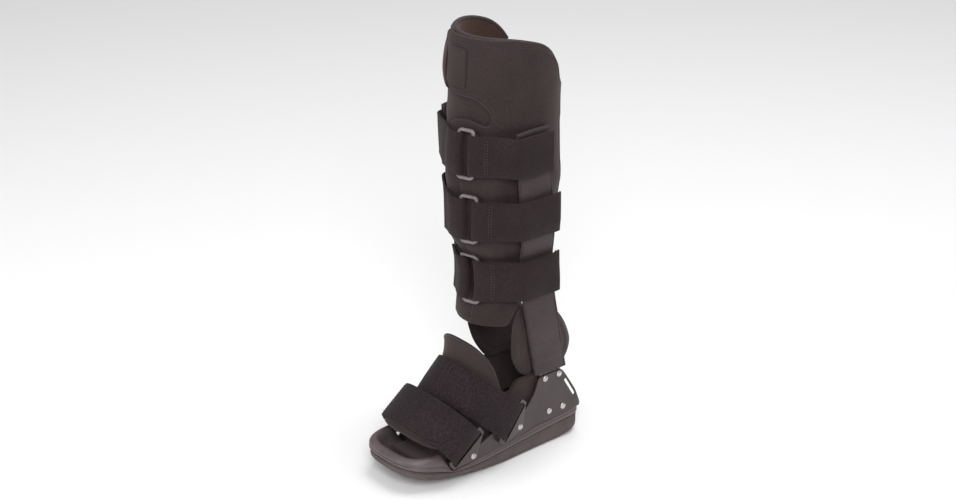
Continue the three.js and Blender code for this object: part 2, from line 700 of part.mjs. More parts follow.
// The near strap folds back over its whole length
function nearStrap(strap) {
  const z = wrapHeight(strap.middle);
  const bar = radians(strap.ring) + angleOf((RING_WIDTH - RING_BAR) / 2, z);
  return foldedStrap(strapEdges(strap, 0), { from: strapEnd(z), bar, back: strapEnd(z), turning: -1 });
}

// The far strap is sewn down a short way behind the ring
function farStrap(strap) {
  const z = wrapHeight(strap.middle);
  const bar = radians(strap.ring) - angleOf((RING_WIDTH - RING_BAR) / 2, z);
  const back = bar - angleOf(FOLD_BACK, z);
  return foldedStrap(strapEdges(strap, FAR_STRAP_EXTRA), { from: -strapEnd(z), bar, back, turning: 1 });
}

// A rectangular wire ring with round corners, standing on the wrap's front
function shinRing(strap) {
  const { low, high } = strapEdges(strap, 0);
  const z = wrapHeight(strap.middle);
  const height = high - low + 2 * FAR_STRAP_EXTRA + RING_BAR + 4 * GAP;
  const corner = RING_BAR;
  const w = (RING_WIDTH - RING_BAR) / 2;
  const h = height / 2;
  const outline = new THREE.Path();
  const rows = strapHeights(z - h + corner, z + h - corner).map((height) => height - z);
  outline.moveTo(w, rows[0]);
  rows.slice(1).forEach((row) => outline.lineTo(w, row));
  outline.absarc(w - corner, h - corner, corner, 0, Math.PI / 2);
  outline.lineTo(-w + corner, h);
  outline.absarc(-w + corner, h - corner, corner, Math.PI / 2, Math.PI);
  rows.slice(0, -1).reverse().forEach((row) => outline.lineTo(-w, row));
  outline.absarc(-w + corner, -h + corner, corner, Math.PI, (3 * Math.PI) / 2);
  outline.lineTo(w - corner, -h);
  outline.absarc(w - corner, -h + corner, corner, (3 * Math.PI) / 2, 2 * Math.PI);
  const places = outline.getPoints(3);
  const loop = places.filter((p, i) => i === 0 || p.distanceTo(places[i - 1]) > 0.01);
  if (loop.at(-1).distanceTo(loop[0]) < 0.01) loop.pop();
  const heights = strapHeights(z - h - RING_BAR, z + h + RING_BAR);
  const hulls = heights.map(beltHull);
  const rings = loop.map((p, i) => {
    const before = loop[(i + loop.length - 1) % loop.length];
    const after = loop[(i + 1) % loop.length];
    const along = after.clone().sub(before).normalize();
    const sideways = new THREE.Vector2(along.y, -along.x);
    return range(7, 0, 2 * Math.PI).slice(0, -1).map((turn) => {
      const spread = (Math.cos(turn) * RING_BAR) / 2;
      const rise = (Math.sin(turn) * RING_BAR) / 2;
      const u = p.x + sideways.x * spread;
      const v = p.y + sideways.y * spread;
      const angle = radians(strap.ring) + angleOf(u, z);
      const k = Math.max(0, Math.min(heights.length - 2, heights.findIndex((height) => height > z + v) - 1));
      const share = THREE.MathUtils.clamp((z + v - heights[k]) / (heights[k + 1] - heights[k]), 0, 1);
      const a = onBelt(hulls[k], angle, heights[k], ringMiddle + rise);
      const b = onBelt(hulls[k + 1], angle, heights[k + 1], ringMiddle + rise);
      const place = a.lerp(b, share);
      return point(place.x, place.y, z + v);
    });
  });
  return loft(rings, true);
}

// Foot straps and their tabs

// A place on a foot strap: across runs along its slots, rise up and forwards from the rivet, out from the centre
function footPlace({ pivotY, pivotRise, slope }, across, rise, x) {
  const turn = radians(slope);
  const y = pivotY + across * Math.cos(turn) - rise * Math.sin(turn);
  const z = plateBottom(pivotY) + pivotRise + across * Math.sin(turn) + rise * Math.cos(turn);
  return point(x, y, z);
}

const barMiddle = TAB_REACH + TAB_SLOT_WIDTH + TAB_BAR / 2;
const tabLift = (rise) => GAP + (rise + TAB_CORNER) * Math.tan(radians(TAB_LEAN));
const strapSide = (strap, across) => plateSide(footPlace(strap, across, barMiddle, 0).y);

// The tab's plate: a rounded triangle at the rivet that widens to a slotted bar
function tabShape() {
  const half = TAB_SLOT_LENGTH / 2;
  const outer = half + TAB_BAR;
  const top = TAB_REACH + TAB_SLOT_WIDTH + TAB_BAR;
  const shape = new THREE.Shape();
  shape.moveTo(outer, TAB_REACH - 1);
  shape.lineTo(outer, top - 3);
  shape.absarc(outer - 3, top - 3, 3, 0, Math.PI / 2);
  shape.absarc(-outer + 3, top - 3, 3, Math.PI / 2, Math.PI);
  shape.lineTo(-outer, TAB_REACH - 1);
  shape.absarc(0, 0, TAB_CORNER, Math.PI * 1.12, Math.PI * 1.88);
  const slot = new THREE.Path();
  slot.moveTo(-half, TAB_REACH);
  slot.lineTo(half, TAB_REACH);
  slot.lineTo(half, TAB_REACH + TAB_SLOT_WIDTH);
  slot.lineTo(-half, TAB_REACH + TAB_SLOT_WIDTH);
  shape.holes.push(slot);
  return shape;
}

function strapTab(strap, side) {
  const options = { depth: TAB_THICKNESS, bevelEnabled: false, curveSegments: 5 };
  const plate = new THREE.ExtrudeGeometry(tabShape(), options);
  plate.deleteAttribute("normal");
  plate.deleteAttribute("uv");
  const places = plate.attributes.position;
  const corners = Array.from({ length: places.count }, (_, i) => {
    const place = footPlace(strap, places.getX(i), places.getY(i), 0);
    place.x = side * (plateSide(place.y) + tabLift(places.getY(i)) + places.getZ(i));
    return place;
  });
  const tab = mergeVertices(new THREE.BufferGeometry().setFromPoints(corners), 1e-4);
  return facingOut(tab);
}

function tabRivet(strap, side) {
  const mesh = piece(`tab_rivet_${strap.name}_${sideName(side)}`, rivet(), finishes.steel);
  const lift = tabLift(0) + TAB_THICKNESS + 3 * GAP;
  mesh.rotation.z = (-Math.PI / 2) * side;
  mesh.position.copy(footPlace(strap, 0, 0, side * (plateSide(strap.pivotY) + lift)));
}

// A place over the foot: turn runs from one side to the other, reach is the height above the strap's underside
function overFoot(strap, turn, across, reach) {
  const blunt = (value) => Math.sign(value) * Math.abs(value) ** 0.8;
  const half = strapSide(strap, across) + tabLift(barMiddle) - STRAP_THICKNESS - 2 * GAP;
  const rise = barMiddle + TAB_BAR + 2 + blunt(Math.cos(turn)) * (strap.crown + reach);
  return footPlace(strap, across, rise, blunt(Math.sin(turn)) * (half + reach));
}

// The strap goes over the foot, round the bar of each tab and back up over itself
function footStrap(strap) {
  const half = FOOT_STRAP_WIDTH / 2;
  const ring = (inner, outer) => [inner(-half), inner(half), outer(half), outer(-half)];
  const beside = (side, rise, out) => (across) => {
    const x = strapSide(strap, across) + tabLift(barMiddle) + TAB_THICKNESS / 2 + out;
    return footPlace(strap, across, rise, side * x);
  };
  const clear = TAB_THICKNESS / 2 + 2 * GAP;
  const low = TAB_BAR / 2 + GAP;
  const hook = (side) => [-1, -0.8, 0, 0.8, 1].map((w) => {
    const deep = (extra) => barMiddle - (low + extra) * (Math.abs(w) < 1 ? 1 : 0.3);
    const wide = (extra) => w * (clear + extra);
    return ring(beside(side, deep(STRAP_THICKNESS), wide(STRAP_THICKNESS)), beside(side, deep(0), wide(0)));
  });
  const outer = (side) => range(6, 1, 0.62).map((share) => {
    const reach = STRAP_THICKNESS + GAP + (TAB_THICKNESS + 3 * GAP) * smoothstep(share, 0.8, 0.97);
    const turn = (share * side * Math.PI) / 2;
    return ring((across) => overFoot(strap, turn, across, reach + STRAP_THICKNESS), (across) => overFoot(strap, turn, across, reach));
  });
  const over = range(23, -1, 1).map((share) => {
    const turn = (share * Math.PI) / 2;
    return ring((across) => overFoot(strap, turn, across, 0), (across) => overFoot(strap, turn, across, STRAP_THICKNESS));
  });
  return loft([...outer(-1).reverse(), ...hook(-1).reverse(), ...over, ...hook(1), ...outer(1)]);
}

// The pad under a foot strap, narrower towards its ends
function footPad(pad) {
  const strap = FOOT_STRAPS.find((row) => row.name === pad.name);
  const half = FOOT_STRAP_WIDTH / 2;
  const limit = radians(84);
  return loft(range(17, -limit, limit).map((turn) => {
    const ease = (Math.abs(turn) / limit) ** 2.6;
    const back = lerp(half + pad.back, half * 0.4, ease);
    const front = -lerp(half + pad.front, half * 0.6, ease);
    const low = -GAP - FOOT_PAD_THICKNESS;
    const lift = pad.lift * Math.max(0, (back - half - 5) / (pad.back - 5));
    const bend = Math.min(half, lerp(front, back, 0.9));
    const corners = [
      [front, low], [bend, low - GAP], [back, low + lift], [back, lift - GAP], [bend, -1.3 * GAP], [front, -GAP],
    ];
    return corners.map(([across, reach]) => overFoot(strap, turn, across, reach));
  }));
}

// Heel and ankle pads

// A low padded wall round the heel, inside the wings and the bars, its front edges sloping down to the plate
function heelPad() {
  const outer = barInWing - BAR_THICKNESS / 2 - GAP - 0.2;
  const inner = outer - HEEL_PAD_THICKNESS;
  const back = PLATE_BACK - 6;
  const front = -50;
  const bend = back - outer;
  const route = [
    ...range(8, front, bend).map((y) => ({ nx: 1, ny: 0, y })),
    ...range(9, 0, Math.PI).slice(1, -1).map((turn) => ({ nx: Math.cos(turn), ny: Math.sin(turn), y: bend })),
    ...range(8, bend, front).map((y) => ({ nx: -1, ny: 0, y })),
  ];
  return loft(route.map(({ nx, ny, y }) => {
    const low = footbedBottom(Math.min(y + ny * outer, PLATE_BACK)) + FOOTBED_THICKNESS + GAP;
    const share = THREE.MathUtils.clamp((y - front) / (bend - front), 0, 1);
    const high = lerp(low + 14, HEEL_PAD_TOP, smoothstep(share, 0.02, 0.5)) - 8 * Math.abs(ny);
    return [
      point(nx * outer, y + ny * outer, low),
      point(nx * outer, y + ny * outer, high),
      point(nx * inner, y + ny * inner, high),
      point(nx * inner, y + ny * inner, low),
    ];
  }));
}

// A teardrop pad inside each sleeve at the ankle bone, with a lobe in front and one behind
function anklePad(side) {
  const low = SLEEVE_BOTTOM - 1;
  const rings = range(13, 0, 1).map((t) => {
    const z = low + ANKLE_PAD_HEIGHT * t;
    const { x, y } = uprightAt(z);
    const spread = Math.sin(Math.PI * Math.min(1, 0.12 + t * 0.8) ** 0.75) ** 0.6;
    const half = Math.max(9, (ANKLE_PAD_WIDTH / 2) * spread);
    const shift = lerp(-3, 0, t);
    const edge = x - SLEEVE_THICKNESS / 2 - GAP - 0.3;
    const across = [-1, -0.8, -0.4, 0, 0.4, 0.8, 1];
    const dish = (w) => edge - 2.2 * w * w;
    const deep = (w) => ANKLE_PAD_THICKNESS * (1 - 0.75 * Math.abs(w) ** 3) * Math.min(1, 0.35 + 3 * t * (1.02 - t));
    const outer = across.map((w) => point(side * dish(w), y + shift + w * half, z));
    const inner = across.map((w) => point(side * (dish(w) - deep(w)), y + shift + w * half, z)).reverse();
    return [...outer, ...inner];
  });
  return loft(rings);
}

piece("outsole", outsole(), finishes.rubber);
piece("midsole", midsole(), finishes.moulded);
piece("footbed", footbed(), finishes.padCloth);
piece("foot_plate", footPlate(), finishes.powderCoat);
piece("heel_pad", heelPad(), finishes.padCloth);
piece("leg_wrap", legWrap(), finishes.wrapCloth);
piece("wrap_flap", wrapFlap(), finishes.wrapCloth);
piece("hook_patch", hookPatch(), finishes.webbing);
piece("pull_strip", pullStrip(radians(-28.5), WRAP_TOP - 66, WRAP_TOP - 8, 2 * GAP), finishes.wrapCloth);
for (const strap of SHIN_STRAPS) {
  piece(`shin_strap_${strap.name}_near`, nearStrap(strap), finishes.webbing);
  piece(`shin_strap_${strap.name}_far`, farStrap(strap), finishes.webbing);
  piece(`shin_ring_${strap.name}`, shinRing(strap), finishes.moulded);
}
for (const strap of FOOT_STRAPS) {
  piece(`${strap.name}_strap`, footStrap(strap), finishes.webbing);
}
for (const pad of FOOT_PADS) {
  piece(`${pad.name}_pad`, footPad(pad), finishes.padCloth);
}
for (const side of [-1, 1]) {
  piece(`upright_${sideName(side)}`, upright(side), finishes.bar);
  piece(`upright_sleeve_${sideName(side)}`, uprightSleeve(side), finishes.sleeveCloth);
  piece(`ankle_pad_${sideName(side)}`, anklePad(side), finishes.padCloth);
  wingRivets(side);
  for (const strap of FOOT_STRAPS) {
    piece(`strap_tab_${strap.name}_${sideName(side)}`, strapTab(strap, side), finishes.powderCoat);
    tabRivet(strap, side);
  }
}

// The origin lies on the floor under the middle of the boot's box
boot.updateMatrixWorld(true);
const box = new THREE.Box3().setFromObject(boot);
const middle = box.getCenter(new THREE.Vector3());
boot.position.set(-middle.x, -middle.y, -box.min.z);

export default boot;
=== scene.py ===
from math import atan2, copysign, cos, degrees, pi, radians, sin, tan

import bmesh
import bpy
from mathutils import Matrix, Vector, geometry, noise


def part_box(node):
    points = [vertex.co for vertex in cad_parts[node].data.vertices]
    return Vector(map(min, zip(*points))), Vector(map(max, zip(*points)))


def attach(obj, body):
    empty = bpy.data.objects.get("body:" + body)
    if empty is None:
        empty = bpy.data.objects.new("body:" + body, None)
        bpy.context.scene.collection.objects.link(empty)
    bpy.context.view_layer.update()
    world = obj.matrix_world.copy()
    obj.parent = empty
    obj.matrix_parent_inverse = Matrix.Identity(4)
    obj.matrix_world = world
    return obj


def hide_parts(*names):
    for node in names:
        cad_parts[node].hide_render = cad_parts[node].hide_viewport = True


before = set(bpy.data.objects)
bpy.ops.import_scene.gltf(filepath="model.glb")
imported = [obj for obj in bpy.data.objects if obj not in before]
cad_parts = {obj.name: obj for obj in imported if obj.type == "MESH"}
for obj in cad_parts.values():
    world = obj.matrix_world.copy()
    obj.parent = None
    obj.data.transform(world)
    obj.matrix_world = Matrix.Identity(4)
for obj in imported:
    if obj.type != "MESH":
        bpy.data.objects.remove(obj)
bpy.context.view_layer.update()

soleLow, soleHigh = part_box("outsole")

# Pieces are drawn in millimetres from the ankle, toes at -Y, and set into the frame by the outsole's place
sole = {
    "toe": 170, "heel": 85, "ball": 104, "heelRound": 25, "ballWidth": 101, "heelWidth": 84,
    "spring": 20, "heelBevel": 11, "deckHeel": 35.2, "deckBall": 18, "deckToe": 34, "plateFront": 113,
    "rimWidth": 15, "rimTop": 39.4,
    "seam": [(-170, 30), (-154, 26.5), (-132, 21.5), (-112, 16), (-104, 14.8), (-76, 13.9), (-48, 15.4), (-17, 17.3),
             (14, 19.3), (85, 24.5)],
}
frameShift = Vector(((soleLow[0] + soleHigh[0]) / 2, soleLow[1] + sole["toe"] / 1000, 0))


def toBoot(place):
    return place / 1000 + frameShift


def blend(a, b, t):
    return a + (b - a) * t


def between(x, low, high):
    return min(high, max(low, x))


def ease(x, low, high):
    t = between((x - low) / (high - low), 0, 1)
    return t * t * (3 - 2 * t)


def steps(count, start, end):
    return [blend(start, end, i / (count - 1)) for i in range(count)]


# Reads a table's row at a value of its first column, with a smooth curve through the rows
def readRow(rows, at):
    last = len(rows) - 1
    x = between(at, rows[0][0], rows[last][0])
    i = max(k for k in range(last) if rows[k][0] <= x)
    span = rows[i + 1][0] - rows[i][0]
    t = (x - rows[i][0]) / span

    def slope(k, column):
        a = rows[max(0, k - 1)]
        b = rows[min(last, k + 1)]
        return (b[column] - a[column]) / (b[0] - a[0]) * span

    found = []
    for column in range(1, len(rows[0])):
        p, q = rows[i][column], rows[i + 1][column]
        m, n = slope(i, column), slope(i + 1, column)
        found.append(p + m * t + (3 * (q - p) - 2 * m - n) * t * t + (2 * (p - q) + m + n) * t ** 3)
    return found


def colour(hexText):
    parts = [int(hexText[i:i + 2], 16) / 255 for i in (1, 3, 5)]
    return [c / 12.92 if c < 0.04045 else ((c + 0.055) / 1.055) ** 2.4 for c in parts] + [1]


def addNode(material, kind, settings=None, links=None):
    tree = material.node_tree
    node = tree.nodes.new(kind)
    for key, value in (settings or {}).items():
        if isinstance(key, int) or key in node.inputs:
            node.inputs[key].default_value = value
        else:
            setattr(node, key, value)
    for key, source in (links or {}).items():
        tree.links.new(source, node.inputs[key])
    return node


def startMaterial(name, settings):
    material = bpy.data.materials.new(name)
    material.use_nodes = True
    material.node_tree.nodes.clear()
    surface = addNode(material, "ShaderNodeBsdfPrincipled", settings)
    addNode(material, "ShaderNodeOutputMaterial", links={"Surface": surface.outputs["BSDF"]})
    return material, surface


def joinNodes(material, source, node, key):
    material.node_tree.links.new(source, node.inputs[key])


# A wave texture's period and a noise texture's grain, both from millimetres
def waveScale(mm):
    return 314.16 / mm


def grainScale(mm):
    return 1000 / mm


# Cloth in general: two sets of threads, a nap or grain that speckles the colour, and slow soiling over the panel.
# The threads are drawn coarser than the real 0.4 mm ones, so that they show at this size.
def makeCloth(name, look):
    base = {"Roughness": look["roughness"], "Specular IOR Level": 0.3, "Sheen Weight": look["sheen"],
            "Sheen Roughness": 0.5, "Sheen Tint": colour(look["sheenColour"])}
    material, surface = startMaterial(name, base)
    uv = addNode(material, "ShaderNodeUVMap", {"uv_map": "cloth"})
    place = addNode(material, "ShaderNodeTexCoord")
    warp = addNode(material, "ShaderNodeTexWave",
                   {"bands_direction": "X", "Scale": waveScale(look["warp"]), "Distortion": look["uneven"],
                    "Detail": 2, "Detail Scale": 1.5}, {"Vector": uv.outputs["UV"]})
    weft = addNode(material, "ShaderNodeTexWave",
                   {"bands_direction": "Y", "Scale": waveScale(look["weft"]), "Distortion": look["uneven"],
                    "Detail": 2, "Detail Scale": 1.5}, {"Vector": uv.outputs["UV"]})
    nap = addNode(material, "ShaderNodeTexNoise",
                  {"Scale": grainScale(look["nap"]), "Detail": 4, "Roughness": 0.65},
                  {"Vector": place.outputs["Object"]})
    soil = addNode(material, "ShaderNodeTexNoise",
                   {"Scale": grainScale(38), "Detail": 3, "Roughness": 0.55}, {"Vector": place.outputs["Object"]})
    threads = addNode(material, "ShaderNodeMath", {"operation": "MULTIPLY"},
                      {0: warp.outputs["Fac"], 1: weft.outputs["Fac"]})
    mixed = addNode(material, "ShaderNodeMix", {"data_type": "FLOAT", "Factor": look["napShare"]},
                    {2: threads.outputs[0], 3: nap.outputs["Fac"]})
    speckle = addNode(material, "ShaderNodeValToRGB", links={"Fac": mixed.outputs[0]})
    speckle.color_ramp.elements[0].position = look["spread"][0]
    speckle.color_ramp.elements[0].color = colour(look["dark"])
    speckle.color_ramp.elements[1].position = look["spread"][1]
    speckle.color_ramp.elements[1].color = colour(look["light"])
    worn = addNode(material, "ShaderNodeValToRGB", links={"Fac": soil.outputs["Fac"]})
    worn.color_ramp.elements[0].position = 0.3
    worn.color_ramp.elements[0].color = colour("#d8d4d2")
    worn.color_ramp.elements[1].position = 0.68
    worn.color_ramp.elements[1].color = colour("#ffffff")
    tone = addNode(material, "ShaderNodeMix", {"data_type": "RGBA", "blend_type": "MULTIPLY", "Factor": 0.8},
                   {6: speckle.outputs["Color"], 7: worn.outputs["Color"]})
    joinNodes(material, tone.outputs[2], surface, "Base Color")
    bump = addNode(material, "ShaderNodeBump", {"Strength": look["bump"], "Distance": look["depth"] / 1000},
                   {"Height": mixed.outputs[0]})
    joinNodes(material, bump.outputs["Normal"], surface, "Normal")
    return material


# Metal and plastic in general: a satin skin with faint mottling and fine scuffs
def makeHard(name, look):
    base = {"Metallic": look["metallic"], "Roughness": look["roughness"]}
    base.update(look.get("extra", {}))
    material, surface = startMaterial(name, base)
    place = addNode(material, "ShaderNodeTexCoord")
    grain = addNode(material, "ShaderNodeTexNoise",
                    {"Scale": grainScale(look["grain"]), "Detail": 5, "Roughness": 0.6},
                    {"Vector": place.outputs["Object"]})
    stretch = addNode(material, "ShaderNodeMapping", {"Scale": look.get("scuffAlong", (1, 1, 1))},
                      {"Vector": place.outputs["Object"]})
    scuff = addNode(material, "ShaderNodeTexNoise",
                    {"Scale": grainScale(look["scuff"]), "Detail": 4, "Roughness": 0.7},
                    {"Vector": stretch.outputs["Vector"]})
    tone = addNode(material, "ShaderNodeValToRGB", links={"Fac": scuff.outputs["Fac"]})
    tone.color_ramp.elements[0].position = 0.36
    tone.color_ramp.elements[0].color = colour(look["dark"])
    tone.color_ramp.elements[1].position = 0.66
    tone.color_ramp.elements[1].color = colour(look["light"])
    joinNodes(material, tone.outputs["Color"], surface, "Base Color")
    rough = addNode(material, "ShaderNodeMapRange",
                    {"From Min": 0.3, "From Max": 0.7, "To Min": look["roughness"] - look["polish"],
                     "To Max": look["roughness"] + look["polish"]}, {"Value": scuff.outputs["Fac"]})
    joinNodes(material, rough.outputs["Result"], surface, "Roughness")
    bump = addNode(material, "ShaderNodeBump", {"Strength": look["bump"], "Distance": look["depth"] / 1000},
                   {"Height": grain.outputs["Fac"]})
    joinNodes(material, bump.outputs["Normal"], surface, "Normal")
    return material


cloths = {
    # Napped loop nylon on foam: dull, dark brown grey, with a soft fuzzy edge to the light
    "nappedNylon": {"dark": "#281f20", "light": "#3e3132", "roughness": 0.92, "sheen": 0.22,
                    "sheenColour": "#b8a8a6", "warp": 2.1, "weft": 2.1, "uneven": 1.5, "nap": 1.7,
                    "napShare": 0.93, "spread": (0.25, 0.78), "bump": 0.4, "depth": 0.4},
    # Loop webbing: the darkest cloth, deep pile with bright broken loops
    "loopWebbing": {"dark": "#181112", "light": "#362a2a", "roughness": 0.95, "sheen": 0.14,
                    "sheenColour": "#a89a98", "warp": 1.8, "weft": 2.6, "uneven": 2.5, "nap": 1.4,
                    "napShare": 0.93, "spread": (0.28, 0.76), "bump": 0.7, "depth": 0.6},
    # Foot straps are the same webbing, newer and speckled
    "speckledWebbing": {"dark": "#120d0f", "light": "#3e3135", "roughness": 0.95, "sheen": 0.12,
                        "sheenColour": "#a89a9c", "warp": 1.8, "weft": 1.8, "uneven": 3, "nap": 1.6,
                        "napShare": 0.85, "spread": (0.34, 0.7), "bump": 0.8, "depth": 0.7},
    # Flat woven nylon: cooler grey, smoother, with fine lines across the sleeve
    "wovenNylon": {"dark": "#342a2c", "light": "#504446", "roughness": 0.62, "sheen": 0.15,
                   "sheenColour": "#c8c0c4", "warp": 0.9, "weft": 2.4, "uneven": 0.8, "nap": 2.6,
                   "napShare": 0.35, "spread": (0.1, 0.85), "bump": 0.35, "depth": 0.35},
    # Binding tape: tight ribbed nylon, a little lighter and shinier than the cloth that it edges
    "bindingTape": {"dark": "#2a2224", "light": "#403538", "roughness": 0.6, "sheen": 0.1,
                    "sheenColour": "#d8d0d0", "warp": 1.4, "weft": 1.4, "uneven": 0.6, "nap": 2,
                    "napShare": 0.4, "spread": (0.1, 0.8), "bump": 0.4, "depth": 0.3},
    # Knit over foam: soft, light brown grey, nearly without texture
    "padKnit": {"dark": "#312626", "light": "#413334", "roughness": 0.85, "sheen": 0.25,
                "sheenColour": "#c0b0ae", "warp": 1.6, "weft": 1.6, "uneven": 1, "nap": 2.2,
                "napShare": 0.5, "spread": (0.2, 0.8), "bump": 0.3, "depth": 0.3},
    # Brushed lining: warm brown, seen inside the upper edge
    "brushedLining": {"dark": "#3e2c26", "light": "#5d463d", "roughness": 0.95, "sheen": 0.3,
                      "sheenColour": "#b09a8c", "warp": 2, "weft": 2, "uneven": 2, "nap": 1.5,
                      "napShare": 0.8, "spread": (0.3, 0.7), "bump": 0.5, "depth": 0.4},
    # Elastic gusset: ribbed, stretched over the back of the calf, and lighter than the wrap; the lightness is partly
    # its own colour and partly painted sheen, the grazing light along the wrap's back edge
    "elasticRibPaintedSheen": {"dark": "#54484a", "light": "#857779", "roughness": 0.8, "sheen": 0.2,
                   "sheenColour": "#c8bcbc", "warp": 3.2, "weft": 1.6, "uneven": 0.5, "nap": 1.8,
                   "napShare": 0.3, "spread": (0.05, 0.8), "bump": 0.8, "depth": 0.6},
    # Sewing thread: bonded nylon, light and a little glossy against the cloth
    "thread": {"dark": "#352b2d", "light": "#4d4143", "roughness": 0.5, "sheen": 0.1,
               "sheenColour": "#d0c8c8", "warp": 1, "weft": 1, "uneven": 0.5, "nap": 1,
               "napShare": 0.5, "spread": (0.2, 0.8), "bump": 0.3, "depth": 0.2},
}
hardStuff = {
    # Powder-coated steel plate: satin brown grey with a broad soft highlight and faint orange peel
    "powderCoat": {"dark": "#312728", "light": "#3f3334", "metallic": 0.25, "roughness": 0.38, "polish": 0.07,
                   "grain": 1.2, "scuff": 55, "bump": 0.12, "depth": 0.15,
                   "extra": {"Coat Weight": 0.25, "Coat Roughness": 0.3}},
    # Zinc-plated rivet: bright, lightly brushed
    "rivetSteel": {"dark": "#a8a3a0", "light": "#d6d2ce", "metallic": 1, "roughness": 0.3, "polish": 0.08,
                   "grain": 0.8, "scuff": 4, "bump": 0.15, "depth": 0.1},
    # Aluminium bar: satin mill finish
    "millAluminium": {"dark": "#86868a", "light": "#a2a2a6", "metallic": 1, "roughness": 0.42, "polish": 0.08,
                      "grain": 0.7, "scuff": 9, "bump": 0.15, "depth": 0.1, "scuffAlong": (1, 1, 0.15)},
    # Moulded rubber sole: matt, with a fine spark-eroded grain and dusty patches
    "soleRubber": {"dark": "#473c3c", "light": "#5a4d4e", "metallic": 0, "roughness": 0.72, "polish": 0.08,
                   "grain": 1.1, "scuff": 22, "bump": 0.35, "depth": 0.25},
    # Moulded polyurethane deck and toe rim: smoother and lighter, with a soft shine
    "deckPlastic": {"dark": "#504546", "light": "#605455", "metallic": 0, "roughness": 0.46, "polish": 0.07,
                    "grain": 1, "scuff": 30, "bump": 0.12, "depth": 0.15},
    # Moulded nylon ring: pale grey with a clear highlight
    "ringNylon": {"dark": "#665d5f", "light": "#776e71", "metallic": 0, "roughness": 0.35, "polish": 0.06,
                  "grain": 0.9, "scuff": 7, "bump": 0.1, "depth": 0.1},
}
stuff = {name: makeCloth(name, look) for name, look in cloths.items()}
stuff.update({name: makeHard(name, look) for name, look in hardStuff.items()})
print("materials made:", len(stuff))


# Turns a bmesh into a piece that rides on the boot and stands for its CAD nodes
def newPiece(name, mesh, finish, nodes=(), crease=40):
    bmesh.ops.remove_doubles(mesh, verts=mesh.verts, dist=1e-6)
    bmesh.ops.recalc_face_normals(mesh, faces=mesh.faces)
    data = bpy.data.meshes.new(name)
    mesh.to_mesh(data)
    mesh.free()
    data.shade_smooth()
    data.set_sharp_from_angle(angle=radians(crease))
    data.materials.append(stuff[finish])
    piece = bpy.data.objects.new(name, data)
    bpy.context.scene.collection.objects.link(piece)
    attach(piece, "root")
    if nodes:
        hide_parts(*nodes)
    return piece


# Stretches a grid over rings of places: around is one ring, along runs from ring to ring. The cloth's UV is in
# metres, so threads follow the piece.
def skin(rings, joined=False, capped=True, closed=True):
    mesh = bmesh.new()
    across = len(rings[0]) - (0 if closed else 1)
    along = len(rings) - (0 if joined else 1)
    bmesh.ops.create_grid(mesh, x_segments=across, y_segments=along, size=0.5)
    uvLayer = mesh.loops.layers.uv.new("cloth")
    middle = rings[len(rings) // 2]
    aroundAt = [0]
    for i in range(across):
        aroundAt.append(aroundAt[-1] + (middle[(i + 1) % len(middle)] - middle[i]).length)
    alongAt = [0]
    for j in range(along):
        alongAt.append(alongAt[-1] + (rings[(j + 1) % len(rings)][0] - rings[j][0]).length)
    spots = {}
    for vert in mesh.verts:
        i = round((vert.co.x + 0.5) * across)
        j = round((vert.co.y + 0.5) * along)
        spots[vert] = (i, j)
        vert.co = toBoot(rings[j % len(rings)][i % len(rings[0])])
    for face in mesh.faces:
        for loop in face.loops:
            i, j = spots[loop.vert]
            loop[uvLayer].uv = (aroundAt[i] / 1000, alongAt[j] / 1000)
    bmesh.ops.remove_doubles(mesh, verts=mesh.verts, dist=1e-6)
    if closed and capped and not joined:
        rim = [edge for edge in mesh.edges if edge.is_boundary]
        bmesh.ops.holes_fill(mesh, edges=rim, sides=0)
    return mesh


# Puts several meshes into one
def together(meshes):
    whole = meshes[0]
    for other in meshes[1:]:
        data = bpy.data.meshes.new("part")
        other.to_mesh(data)
        other.free()
        whole.from_mesh(data)
        bpy.data.meshes.remove(data)
    return whole


# A plate cut from flat outlines, the first outside and the others holes, with rounded edges. It is creased
# where it will bend, and then every point is placed by bend(x, y, height).
def flatPlate(outlines, thickness, edge, bend, creases=()):
    curve = bpy.data.curves.new("outline", "CURVE")
    curve.dimensions = "2D"
    curve.fill_mode = "BOTH"
    curve.extrude = thickness / 2 - edge
    curve.bevel_depth = edge
    curve.bevel_resolution = 2
    curve.offset = -edge
    for outline in outlines:
        spline = curve.splines.new("POLY")
        spline.points.add(len(outline) - 1)
        spline.use_cyclic_u = True
        for point, (x, y) in zip(spline.points, outline):
            point.co = (x, y, 0, 1)
    holder = bpy.data.objects.new("outline", curve)
    data = bpy.data.meshes.new_from_object(holder)
    mesh = bmesh.new()
    mesh.from_mesh(data)
    bpy.data.objects.remove(holder)
    bpy.data.curves.remove(curve)
    bpy.data.meshes.remove(data)
    bmesh.ops.remove_doubles(mesh, verts=mesh.verts, dist=1e-4)
    for place, normal in creases:
        whole = mesh.verts[:] + mesh.edges[:] + mesh.faces[:]
        bmesh.ops.bisect_plane(mesh, geom=whole, plane_co=place, plane_no=normal, dist=1e-5)
    uvLayer = mesh.loops.layers.uv.new("cloth")
    for face in mesh.faces:
        for loop in face.loops:
            loop[uvLayer].uv = (loop.vert.co.x / 1000, loop.vert.co.y / 1000)
    for vert in mesh.verts:
        vert.co = toBoot(bend(vert.co.x, vert.co.y, vert.co.z))
    return mesh


def creasesAcross(axis, low, high, spacing):
    count = max(1, int((high - low) / spacing))
    normal = (1, 0, 0) if axis == 0 else (0, 1, 0)
    return [((place, 0, 0) if axis == 0 else (0, place, 0), normal) for place in steps(count + 1, low, high)[1:-1]]


